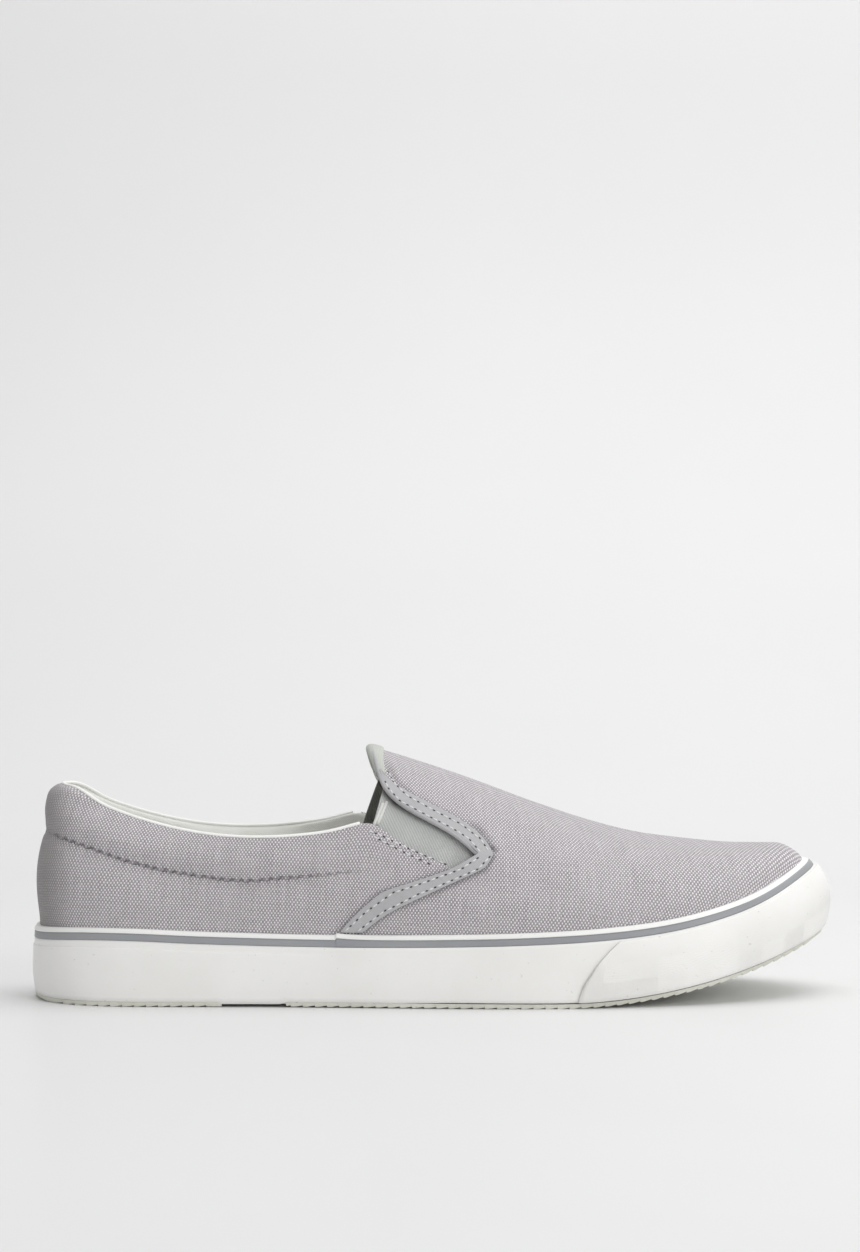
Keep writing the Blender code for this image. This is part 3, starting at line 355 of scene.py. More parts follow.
@dataclass(frozen=True)
class Canvas:
    """Plain-woven canvas of pale and dark yarns, with the padded collar's seam on it; painted shade
    darkens the seam's groove, the canvas beside the tape's edges and the heel's back.
    """

    name: str = "lilac_canvas"
    pale: tuple = srgb(249, 245, 248)
    middle: tuple = srgb(191, 186, 190)
    dark: tuple = srgb(128, 123, 127)
    # Colours of painted shade: in the seam's groove, beside the tape's edges and towards the heel's back.
    groove: tuple = srgb(96, 90, 96)
    edge: tuple = srgb(92, 88, 92)
    heel: tuple = srgb(138, 133, 133)
    across: float = 0.62 * MM
    along: float = 0.88 * MM
    relief: float = 0.16 * MM
    sheen: float = 0.25

    def material(self) -> bpy.types.Material:
        """The canvas as a material."""
        recipe = Recipe(self.name)
        threads = recipe.surface(self.across, self.along)
        wander = recipe.noise(recipe.stretched(threads, 0.09, 0.09, 1.0), 1.0, 2.0)
        shift = recipe.times(recipe.minus(wander, 0.5), 0.9)
        x, y, _ = recipe.axes(threads)
        wave_x = recipe.wave(recipe.plus(x, shift), YARN_PAIR)
        wave_y = recipe.wave(recipe.minus(y, shift), YARN_PAIR)
        cross = recipe.times(wave_x, wave_y)
        height = recipe.sum("POWER", recipe.size(cross), 0.5)
        slub_weft = recipe.noise(recipe.stretched(threads, 0.06, 1.0, 1.0), 1.0, 1.0)
        slub_warp = recipe.noise(recipe.stretched(threads, 1.0, 0.06, 1.0), 1.0, 1.0)
        slub = recipe.plus(slub_weft, slub_warp)
        cloth = recipe.noise(recipe.place(), 60.0, 3.0)
        fuzz = recipe.noise(recipe.place(), 2600.0, 2.0)
        tone = recipe.mix(recipe.span(slub, 0.5, 1.5, 0.25, 0.75), self.dark, self.middle)
        over = recipe.span(cross, -0.15, 0.75, 0.0, 1.0)
        bright = recipe.times(over, recipe.span(slub_warp, 0.2, 0.8, 0.8, 1.0))
        color = recipe.mix(bright, tone, self.pale)
        valley = recipe.span(height, 0.0, 0.5, 0.75, 0.0)
        color = recipe.mix(recipe.times(valley, 0.75), color, self.dark)
        color = recipe.mix(recipe.span(cloth, 0.3, 0.7, 0.0, 0.14), color, self.middle)
        color = recipe.mix(recipe.span(fuzz, 0.45, 0.75, 0.0, 0.16), color, self.pale)
        groove, puckers = self.seam(recipe)
        # Painted shade: the collar seam's groove is darkened in colour on top of its relief.
        color = recipe.mix(recipe.times(groove, 0.62), color, self.groove)
        # Painted shadow of the tape's edges on the canvas.
        color = recipe.mix(recipe.attribute("edge_shade"), color, self.edge)
        # Painted shade: the canvas darkens towards the heel's back.
        color = recipe.mix(recipe.attribute("heel_shade"), color, self.heel)
        weave = recipe.bump(height, self.relief)
        cut = recipe.bump(recipe.minus(1.0, groove), 0.8 * MM, weave)
        folded = recipe.bump(puckers, 0.5 * MM, cut)
        shader = recipe.shader
        shader.inputs["Sheen Weight"].default_value = self.sheen
        shader.inputs["Sheen Roughness"].default_value = 0.45
        shader.inputs["Specular IOR Level"].default_value = 0.2
        return recipe.finish(color, 0.9, folded)

    def seam(self, recipe: Recipe) -> tuple[bpy.types.NodeSocket, bpy.types.NodeSocket]:
        """The collar seam's groove and the small puckers along it.

        Args:
            recipe: the canvas's recipe.

        Returns:
            Sockets of the groove's depth, which also sets the groove's painted shade, and of the puckers'
            height, 0 to 1.
        """
        distance = recipe.attribute("seam_distance")
        along = recipe.attribute("seam_along")
        held = recipe.attribute("seam_hold")
        uneven = recipe.noise(recipe.place(), 260.0, 2.0)
        drawn = recipe.plus(along, recipe.times(uneven, 2.6 * MM))
        beat = recipe.wave(drawn, PUCKER)
        wiggle = recipe.times(recipe.times(beat, uneven), 0.5 * MM)
        off = recipe.size(recipe.minus(distance, wiggle))
        deep = recipe.span(beat, -1.0, 0.6, 0.45, 1.0)
        groove = recipe.times(recipe.span(off, 0.1 * MM, 0.7 * MM, 1.0, 0.0), held)
        groove = recipe.times(groove, deep)
        near = recipe.span(recipe.size(distance), 0.4 * MM, 3.5 * MM, 1.0, 0.0)
        fold = recipe.times(recipe.times(near, held), recipe.plus(beat, 1.0))
        return groove, recipe.times(fold, 0.5)


@dataclass(frozen=True)
class Lining:
    """Cream drill lining with a fine diagonal rib."""

    name: str = "cream_lining"
    pale: tuple = srgb(255, 255, 253)
    shade: tuple = srgb(251, 251, 246)
    pitch: float = 0.7 * MM

    def material(self) -> bpy.types.Material:
        """The lining as a material."""
        recipe = Recipe(self.name)
        place = recipe.place()
        x, y, z = recipe.axes(place)
        slope = recipe.plus(recipe.plus(x, y), z)
        rib = recipe.wave(slope, self.pitch)
        height = recipe.span(rib, -1.0, 1.0, 0.0, 1.0)
        cloth = recipe.noise(place, 90.0, 4.0)
        fuzz = recipe.noise(place, 2200.0, 2.0)
        color = recipe.mix(recipe.span(cloth, 0.3, 0.7, 0.0, 1.0), self.pale, self.shade)
        color = recipe.mix(recipe.span(fuzz, 0.5, 0.8, 0.0, 0.3), color, self.pale)
        recipe.shader.inputs["Sheen Weight"].default_value = 0.2
        normal = recipe.bump(recipe.plus(recipe.times(height, 0.6), fuzz), 0.06 * MM)
        return recipe.finish(color, 0.92, normal)


@dataclass(frozen=True)
class Woven:
    """Smooth narrow webbing: fine ribs over a soft, slightly uneven ground."""

    name: str
    pale: tuple
    shade: tuple
    turn: float
    pitch: float
    relief: float
    contrast: float
    cross_pitch: float = 0.0

    def material(self) -> bpy.types.Material:
        """The webbing as a material."""
        recipe = Recipe(self.name)
        place = recipe.place((0.0, self.turn, 0.0))
        x, _, z = recipe.axes(place)
        sway = recipe.noise(recipe.place(), 140.0, 2.0)
        bent = recipe.plus(x, recipe.times(sway, 0.5 * self.pitch))
        rib = recipe.wave(bent, self.pitch)
        height = recipe.span(rib, -1.0, 1.0, 0.0, 1.0)
        if self.cross_pitch > 0.0:
            tie = recipe.wave(z, self.cross_pitch)
            height = recipe.times(height, recipe.span(tie, -1.0, 0.2, 0.55, 1.0))
        fuzz = recipe.noise(recipe.place(), 2400.0, 2.0)
        cloth = recipe.noise(recipe.place(), 120.0, 3.0)
        deep = recipe.times(recipe.minus(1.0, height), self.contrast)
        color = recipe.mix(deep, self.pale, self.shade)
        color = recipe.mix(recipe.span(cloth, 0.3, 0.7, 0.0, 0.3), color, self.shade)
        color = recipe.mix(recipe.span(fuzz, 0.5, 0.8, 0.0, 0.2), color, self.pale)
        color = recipe.mix(recipe.attribute("edge_shade"), color, DEEP_SHADE)
        recipe.shader.inputs["Sheen Weight"].default_value = 0.2
        recipe.shader.inputs["Specular IOR Level"].default_value = 0.3
        normal = recipe.bump(recipe.plus(height, recipe.times(fuzz, 0.4)), self.relief)
        return recipe.finish(color, 0.82, normal)


@dataclass(frozen=True)
class Rubber:
    """Vulcanised rubber with faint clouds, specks and soft dents; satin gloss."""

    name: str
    pale: tuple
    shade: tuple
    roughness: float = 0.42
    hatch: float = 0.0
    grime: float = 0.25
    tread: float = 0.0

    def material(self) -> bpy.types.Material:
        """The rubber as a material."""
        recipe = Recipe(self.name)
        place = recipe.place()
        clouds = recipe.noise(place, 22.0, 4.0)
        skin = recipe.noise(place, 900.0, 3.0)
        dents = recipe.noise(place, 110.0, 2.0)
        specks = recipe.noise(place, 700.0, 1.0)
        color = recipe.mix(recipe.span(clouds, 0.35, 0.7, 0.0, 1.0), self.pale, self.shade)
        color = recipe.mix(recipe.span(specks, 0.72, 0.8, 0.0, self.grime), color, srgb(160, 154, 144))
        gloss = recipe.span(clouds, 0.3, 0.7, self.roughness - 0.06, self.roughness + 0.08)
        normal = recipe.bump(dents, 0.12 * MM)
        normal = recipe.bump(skin, 0.02 * MM, normal)
        if self.hatch > 0.0:
            normal, color = self.hatched(recipe, normal, color)
        if self.tread > 0.0:
            normal, color = self.trodden(recipe, normal, color)
        recipe.shader.inputs["Coat Weight"].default_value = 0.08
        recipe.shader.inputs["Coat Roughness"].default_value = 0.3
        recipe.shader.inputs["Subsurface Weight"].default_value = 0.04
        recipe.shader.inputs["Subsurface Radius"].default_value = (2.0 * MM, 1.8 * MM, 1.5 * MM)
        return recipe.finish(color, gloss, normal)

    def hatched(
        self, recipe: Recipe, normal: bpy.types.NodeSocket, color: bpy.types.NodeSocket
    ) -> tuple[bpy.types.NodeSocket, bpy.types.NodeSocket]:
        """Fine crosshatch moulded into the lower part of the bumper, its grooves a little darker as
        painted shade.

        Args:
            recipe: the rubber's recipe.
            normal: the relief so far.
            color: the colour so far.

        Returns:
            The new relief and colour.
        """
        x, y, _ = recipe.axes(recipe.surface(self.hatch, self.hatch))
        first = recipe.size(recipe.wave(recipe.plus(x, y), 2.0))
        second = recipe.size(recipe.wave(recipe.minus(x, y), 2.0))
        lines = recipe.sum("MINIMUM", first, second)
        low = recipe.span(recipe.attribute("rise"), 0.35, 0.8, 1.0, 0.15)
        cut = recipe.times(recipe.span(lines, 0.0, 0.4, 1.0, 0.0), low)
        # Painted shade in the hatch's grooves.
        color = recipe.mix(recipe.times(cut, 0.14), color, srgb(186, 188, 180))
        return recipe.bump(recipe.minus(1.0, cut), 0.025 * MM, normal), color

    def trodden(
        self, recipe: Recipe, normal: bpy.types.NodeSocket, color: bpy.types.NodeSocket
    ) -> tuple[bpy.types.NodeSocket, bpy.types.NodeSocket]:
        """Fine diamond tread on the faces that look down, its grooves darker as painted shade.

        Args:
            recipe: the rubber's recipe.
            normal: the relief so far.
            color: the colour so far.

        Returns:
            The new relief and colour.
        """
        geometry = recipe.tree.nodes.new("ShaderNodeNewGeometry")
        _, _, rise = recipe.axes(geometry.outputs["True Normal"])
        under = recipe.span(rise, -0.95, -0.75, 1.0, 0.0)
        x, y, _ = recipe.axes(recipe.place())
        grooves = []
        for way in ("ADD", "SUBTRACT"):
            grooves.append(recipe.size(recipe.wave(recipe.sum(way, x, y), 2.0 * self.tread)))
        lines = recipe.sum("MINIMUM", *grooves)
        cut = recipe.times(recipe.span(lines, 0.1, 0.4, 1.0, 0.0), under)
        # Painted shade in the tread's grooves.
        color = recipe.mix(recipe.times(cut, 0.35), color, srgb(150, 148, 138))
        return recipe.bump(recipe.minus(1.0, cut), 0.5 * MM, normal), color


@dataclass(frozen=True)
class Thread:
    """Twisted sewing thread."""

    name: str = "pale_thread"
    pale: tuple = srgb(240, 240, 239)
    shade: tuple = srgb(205, 205, 206)
    twist: float = 0.35 * MM

    def material(self) -> bpy.types.Material:
        """The thread as a material."""
        recipe = Recipe(self.name)
        place = recipe.place((0.0, 35.0, 20.0))
        x, _, _ = recipe.axes(place)
        twist = recipe.wave(x, self.twist)
        lay = recipe.span(twist, -1.0, 1.0, 0.0, 1.0)
        color = recipe.mix(lay, self.shade, self.pale)
        recipe.shader.inputs["Sheen Weight"].default_value = 0.2
        return recipe.finish(color, 0.7, recipe.bump(lay, 0.05 * MM))


@dataclass(frozen=True)
class StitchShadow:
    """Dark bead at the needle's puncture beside each stitch, with frayed edges; its darkness is painted
    shade.
    """

    name: str = "painted_stitch_shadow"

    def material(self) -> bpy.types.Material:
        """The painted stitch shadow as a material."""
        recipe = Recipe(self.name)
        fray = recipe.noise(recipe.place(), 3000.0, 2.0)
        color = recipe.mix(recipe.span(fray, 0.4, 0.7, 0.0, 1.0), srgb(66, 63, 66), srgb(98, 94, 99))
        return recipe.finish(color, 0.95, recipe.bump(fray, 0.05 * MM))


@dataclass(frozen=True)
class Paper:
    """Seamless pale studio paper."""

    name: str = "studio_paper"
    color: tuple = srgb(231, 231, 231)

    def material(self) -> bpy.types.Material:
        """The paper as a material."""
        recipe = Recipe(self.name)
        grain = recipe.noise(recipe.place(), 8.0, 2.0)
        tone = recipe.mix(recipe.span(grain, 0.3, 0.7, 0.0, 0.15), self.color, srgb(226, 226, 226))
        recipe.shader.inputs["Coat Weight"].default_value = 0.15
        recipe.shader.inputs["Coat Roughness"].default_value = 0.25
        return recipe.finish(tone, 0.6, None)


# Mesh helpers


def cloth_copy(node: str, corner: float, hold: float = 0.85) -> bmesh.types.BMesh:
    """Copies a CAD node with its triangles joined into quads and its corners marked.

    Args:
        node: the CAD node.
        corner: edges that turn by more than this many degrees stay crisp.
        hold: how crisp they stay, 0 to 1.

    Returns:
        The copy.
    """
    bm = bmesh.new()
    bm.from_mesh(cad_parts[node].data)
    bmesh.ops.remove_doubles(bm, verts=bm.verts, dist=0.002 * MM)
    limit, shape = math.radians(25.0), math.radians(80.0)
    bmesh.ops.join_triangles(bm, faces=bm.faces, angle_face_threshold=limit, angle_shape_threshold=shape)
    crease = bm.edges.layers.float.new("crease_edge")
    for edge in bm.edges:
        if len(edge.link_faces) == 2 and edge.calc_face_angle() > math.radians(corner):
            edge[crease] = hold
    pinned = bm.verts.layers.float.new("crease_vert")
    for vert in bm.verts:
        sharp = [edge for edge in vert.link_edges if edge[crease] > 0.0]
        if len(sharp) == 2:
            first, second = ((edge.other_vert(vert).co - vert.co).normalized() for edge in sharp)
            vert[pinned] = 1.0 if first.dot(second) > -0.75 else 0.0
    for face in bm.faces:
        face.smooth = True
    return bm


def object_of(bm: bmesh.types.BMesh, name: str, *finishes: bpy.types.Material) -> bpy.types.Object:
    """Makes a scene object of a mesh.

    Args:
        bm: the mesh, which is freed.
        name: the object's name.
        finishes: its materials, by slot.

    Returns:
        The object.
    """
    mesh = bpy.data.meshes.new(name)
    bm.to_mesh(mesh)
    bm.free()
    for finish in finishes:
        mesh.materials.append(finish)
    piece = bpy.data.objects.new(name, mesh)
    bpy.context.scene.collection.objects.link(piece)
    return piece


def settle(piece: bpy.types.Object) -> None:
    """Applies a piece's modifiers to its mesh."""
    depsgraph = bpy.context.evaluated_depsgraph_get()
    mesh = bpy.data.meshes.new_from_object(piece.evaluated_get(depsgraph))
    old, name = piece.data, piece.data.name
    piece.modifiers.clear()
    piece.data = mesh
    bpy.data.meshes.remove(old)
    mesh.name = name


def smooth(piece: bpy.types.Object, levels: int) -> None:
    """Subdivides a piece smoothly and applies it.

    Args:
        piece: the piece.
        levels: how often.
    """
    rounder = piece.modifiers.new("rounder", "SUBSURF")
    rounder.levels = levels
    rounder.render_levels = levels
    settle(piece)


def verts_of(piece: bpy.types.Object) -> np.ndarray:
    """A mesh's points as rows."""
    places = np.empty(len(piece.data.vertices) * 3, np.float32)
    piece.data.vertices.foreach_get("co", places)
    return places.reshape(-1, 3).astype(float)


def normals_of(piece: bpy.types.Object) -> np.ndarray:
    """A mesh's point normals as rows."""
    normals = np.empty(len(piece.data.vertices) * 3, np.float32)
    piece.data.vertex_normals.foreach_get("vector", normals)
    return normals.reshape(-1, 3).astype(float)


def move_to(piece: bpy.types.Object, places: np.ndarray) -> None:
    """Puts a mesh's points at new places."""
    piece.data.vertices.foreach_set("co", places.astype(np.float32).ravel())
    piece.data.update()


def store(piece: bpy.types.Object, name: str, values: np.ndarray) -> None:
    """Stores one number a point on a mesh."""
    layer = piece.data.attributes.new(name, "FLOAT", "POINT")
    layer.data.foreach_set("value", values.astype(np.float32))


def carry(piece: bpy.types.Object, slot: str, *nodes: str) -> bpy.types.Object:
    """Lets a piece ride on the shoe and stand for its CAD nodes.

    Args:
        piece: the piece.
        slot: the record's material slot; not used.
        nodes: the CAD nodes that it stands for.

    Returns:
        The piece.
    """
    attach(piece, BODY)
    if nodes:
        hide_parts(*nodes)
    size = len(piece.data.polygons)
    LOG.info("%s: %d faces", piece.name, size)
    return piece


def tube(name: str, places: np.ndarray, radius: float, finish: bpy.types.Material) -> bpy.types.Object:
    """Makes a round cord along a line of places.

    Args:
        name: the object's name.
        places: rows of places, metres.
        radius: its radius.
        finish: its material.

    Returns:
        The object, a closed mesh.
    """
    line = bpy.data.curves.new(name, "CURVE")
    line.dimensions = "3D"
    line.bevel_depth = radius
    line.bevel_resolution = 2
    line.use_fill_caps = True
    spline = line.splines.new("POLY")
    spline.points.add(len(places) - 1)
    for point, place in zip(spline.points, places):
        point.co = (*place, 1.0)
    bent = bpy.data.objects.new(name, line)
    bpy.context.scene.collection.objects.link(bent)
    depsgraph = bpy.context.evaluated_depsgraph_get()
    bm = bmesh.new()
    mesh = bpy.data.meshes.new_from_object(bent.evaluated_get(depsgraph))
    bm.from_mesh(mesh)
    bpy.data.objects.remove(bent)
    bpy.data.curves.remove(line)
    bpy.data.meshes.remove(mesh)
    bmesh.ops.remove_doubles(bm, verts=bm.verts, dist=0.001 * MM)
    for face in bm.faces:
        face.smooth = True
    return object_of(bm, name, finish)


def evened(places: np.ndarray, step: float, rounds: int) -> np.ndarray:
    """Resamples a line at even steps and smooths it.

    Args:
        places: rows of places, metres.
        step: distance between its new points.
        rounds: how often each point moves to the middle of its neighbours.

    Returns:
        The new rows, with the same ends.
    """
    path = path_of(places)
    count = max(int(path.run[-1] / step), 2)
    rows = along_path(path, np.linspace(0.0, path.run[-1], count + 1))
    for _ in range(rounds):
        rows[1:-1] = 0.5 * rows[1:-1] + 0.25 * (rows[:-2] + rows[2:])
    return rows


class Path(NamedTuple):
    """Points along a line, each with the distance run so far."""

    points: np.ndarray
    run: np.ndarray


def path_of(points: Sequence[Sequence[float]]) -> Path:
    """Measures a line of points."""
    rows = np.array(points, float)
    steps = np.linalg.norm(np.diff(rows, axis=0), axis=1)
    return Path(rows, np.concatenate([[0.0], np.cumsum(steps)]))


def along_path(path: Path, at: np.ndarray) -> np.ndarray:
    """Places on a line at distances from its start."""
    return np.column_stack([np.interp(at, path.run, column) for column in path.points.T])


def line_distance(flat: np.ndarray, marks: Sequence[Mark]) -> tuple[np.ndarray, np.ndarray]:
    """Signed distance of side-view points to a line of marks, and the place along it.

    Args:
        flat: rows of (x, z), metres.
        marks: the line.

    Returns:
        Signed distances, positive above the line, and distances along it, metres.
    """
    path = path_of([(mark.x * MM, mark.z * MM) for mark in marks])
    best = np.full(len(flat), 1e9)
    signed, along = np.zeros(len(flat)), np.zeros(len(flat))
    for start, end, run in zip(path.points, path.points[1:], path.run):
        span = end - start
        share = np.clip(((flat - start) @ span) / (span @ span), 0.0, 1.0)
        off = flat - (start + share[:, None] * span)
        distance = np.linalg.norm(off, axis=1)
        nearer = distance < best
        side = np.sign(span[0] * off[:, 1] - span[1] * off[:, 0])
        best = np.where(nearer, distance, best)
        signed = np.where(nearer, distance * side, signed)
        along = np.where(nearer, run + share * np.linalg.norm(span), along)
    return signed, along


class Skin:
    """The outer surface of some pieces, for setting marks onto it."""

    def __init__(self, pieces: Sequence[bpy.types.Object]) -> None:
        """Reads the pieces' faces.

        Args:
            pieces: what the marks lie on.
        """
        bm = bmesh.new()
        for piece in pieces:
            bm.from_mesh(piece.data)
        self.tree = BVHTree.FromBMesh(bm)
        bm.free()

    def at(self, mark: Mark, side: Side) -> tuple[Vector, Vector] | None:
        """Where a mark lies on one side of the shoe.

        Args:
            mark: the side view's point.
            side: the side that it is seen from.

        Returns:
            The place and the outward normal, or None beside the shoe.
        """
        start = Vector((mark.x * MM, side.value * 0.2, mark.z * MM))
        way = Vector((0.0, -side.value, 0.0))
        place, normal, _, _ = self.tree.ray_cast(start, way)
        if place is None:
            return None
        return place, normal if normal.dot(way) < 0.0 else -normal


# Camera and studio


SOFT_BOXES = (
    ("soft_box_top", (0.35, 0.1, 1.35), (0.02, 0.0, 0.0), 1.2, 10.5),
    ("soft_box_right", (1.05, -1.4, 0.7), (0.0, 0.0, 0.04), 0.9, 9.5),
)


@dataclass
class Studio:
    """Pale paper sweep, soft lights and the photograph's camera."""

    eye: tuple[float, float, float] = (-0.0696, -1.0972, 0.133)
    turn: float = -3.5
    focal: float = 87.1
    sensor: float = 36.0
    glow: float = 0.52
    paper_front: float = 2.2
    paper_back: float = 0.42
    paper_half: float = 2.2
    paper_bend: float = 0.5
    paper_height: float = 2.4

    def camera(self) -> None:
        """Sets up the camera at the photograph's height and angle."""
        data = bpy.data.cameras.new("photo_camera")
        data.sensor_width = self.sensor
        data.sensor_fit = "AUTO"
        data.lens = self.focal
        data.clip_start = 0.01
        data.clip_end = 50.0
        camera = bpy.data.objects.new("photo_camera", data)
        camera.location = self.eye
        camera.rotation_euler = (math.radians(90.0), 0.0, math.radians(self.turn))
        bpy.context.scene.collection.objects.link(camera)
        bpy.context.scene.camera = camera

    def sweep(self) -> None:
        """Builds the paper: floor, bend and wall in one sheet."""
        bm = bmesh.new()
        start = bm.verts.new((-self.paper_half, -self.paper_front, 0.0))
        end = bm.verts.new((-self.paper_half, self.paper_back, 0.0))
        edge = bm.edges.new((start, end))
        centre = Vector((0.0, self.paper_back, self.paper_bend))
        bent = bmesh.ops.spin(
            bm, geom=[end], cent=centre, axis=(1.0, 0.0, 0.0), angle=math.radians(90.0), steps=24
        )
        top = next(item for item in bent["geom_last"] if isinstance(item, bmesh.types.BMVert))
        wall = bmesh.ops.extrude_vert_indiv(bm, verts=[top])["verts"]
        bmesh.ops.translate(bm, verts=wall, vec=(0.0, 0.0, self.paper_height))
        sheet = bmesh.ops.extrude_edge_only(bm, edges=list(bm.edges))["geom"]
        moved = [item for item in sheet if isinstance(item, bmesh.types.BMVert)]
        bmesh.ops.translate(bm, verts=moved, vec=(2.0 * self.paper_half, 0.0, 0.0))
        bmesh.ops.recalc_face_normals(bm, faces=bm.faces)
        for face in bm.faces:
            face.smooth = True
        object_of(bm, "paper_sweep", Paper().material())

    def light(self, name: str, place: tuple, aim: tuple, size: float, power: float) -> None:
        """Hangs one soft square light.

        Args:
            name: its name.
            place: where it hangs, metres.
            aim: what it points at, metres.
            size: its side, metres.
            power: its power, watts.
        """
        data = bpy.data.lights.new(name, "AREA")
        data.shape = "SQUARE"
        data.size = size
        data.energy = power
        lamp = bpy.data.objects.new(name, data)
        lamp.location = place
        lamp.rotation_euler = (Vector(aim) - Vector(place)).to_track_quat("-Z", "Y").to_euler()
        bpy.context.scene.collection.objects.link(lamp)

    def lights(self) -> None:
        """Sets the world's glow and the soft boxes."""
        world = bpy.data.worlds.new("studio_glow")
        world.use_nodes = True
        glow = world.node_tree.nodes["Background"]
        glow.inputs["Color"].default_value = (1.0, 1.0, 1.0, 1.0)
        glow.inputs["Strength"].default_value = self.glow
        bpy.context.scene.world = world
        for box in SOFT_BOXES:
            self.light(*box)
        scene = bpy.context.scene
        scene.view_settings.view_transform = "Standard"
        scene.view_settings.look = "None"

    def build(self) -> None:
        """Builds camera, paper and lights."""
        self.camera()
        self.sweep()
        self.lights()


# The shoe's parts


PAD_SEAM = line(
    -143.0, 59.9, -139.6, 59.5, -133.9, 57.9, -124.2, 54.9, -112.4, 51.0, -100.7, 47.9,
    -89.1, 46.0, -77.2, 44.3, -66.7, 43.8, -61.0, 44.5, -49.4, 45.3, -40.7, 46.2,
    -32.0, 47.1, -25.7, 46.8,
)
STRAP_BACK = line(
    -37.2, 26.1, -30.2, 33.4, -22.1, 40.2, -11.6, 43.3, 2.65, 48.1, 11.95, 53.1,
)
STRAP_FRONT = line(
    -29.3, 26.1, -19.45, 33.3, -6.66, 39.1, 6.14, 44.6, 13.99, 48.2, 17.2, 52.3,
)
THROAT_INNER = line(
    11.95, 53.1, 7.0, 58.6, 1.5, 61.6, -6.1, 65.4, -16.25, 70.7, -19.7, 74.7,
    -21.3, 78.0,
)
THROAT_OUTER = line(
    17.2, 53.8, 14.6, 58.2, 8.2, 63.5, -0.6, 68.0, -10.9, 73.6, -15.6, 77.9,
    -18.4, 83.0,
)
GORE_ROW = line(-27.1, 61.6, -22.9, 60.1, -14.3, 56.0, -5.6, 52.2, 0.6, 49.6)
GORE_SECOND_ROW = line(-25.5, 59.8, -21.0, 57.4, -14.3, 54.0, -3.9, 49.3)
# Line of painted shade in the narrow gap beside the tape's outer edge near the throat.
TAPE_GAP_SHADE = line(10.6, 62.4, 13.6, 59.9, 16.0, 57.2, 17.6, 54.2)
GORE_AXIS = line(-27.0, 70.0, 12.0, 53.2)
GORE_REAR = line(-25.2, 62.2, -23.6, 65.6, -21.6, 70.0, -19.4, 75.0)
TAPE = Woven(
    "smooth_tape", srgb(188, 187, 189), srgb(166, 165, 167), 40.0, 0.5 * MM, 0.03 * MM, 0.25, 0.5 * MM
)


class Crease(NamedTuple):
    """A soft trough or ridge in cloth: its line, its depth in millimetres and half width."""

    marks: tuple[Mark, ...]
    depth: float
    width: float
    side: Side


CREASES = (
    Crease(line(22.0, 60.0, 30.0, 50.0, 33.0, 40.0), -0.5, 5.0, Side.LATERAL),
    Crease(line(24.0, 58.0, 32.0, 48.0, 36.0, 38.0), -0.5, 5.0, Side.MEDIAL),
    Crease(line(52.0, 56.0, 60.0, 46.0, 66.0, 36.0), -0.45, 6.0, Side.LATERAL),
    Crease(line(50.0, 56.0, 58.0, 46.0, 63.0, 36.0), -0.5, 6.0, Side.MEDIAL),
    Crease(line(66.0, 52.0, 74.0, 44.0, 80.0, 37.0), 0.35, 5.0, Side.LATERAL),
    Crease(line(68.0, 52.0, 75.0, 44.0, 80.0, 37.0), 0.35, 5.0, Side.MEDIAL),
    Crease(line(-96.0, 40.0, -84.0, 34.0, -76.0, 30.0), -0.4, 5.0, Side.LATERAL),
    Crease(line(-92.0, 40.0, -80.0, 34.0, -70.0, 30.0), -0.45, 5.0, Side.MEDIAL),
    Crease(line(-46.0, 42.0, -44.0, 34.0), -0.35, 4.5, Side.LATERAL),
    Crease(line(-52.0, 42.0, -48.0, 34.0), -0.4, 4.5, Side.MEDIAL),
)


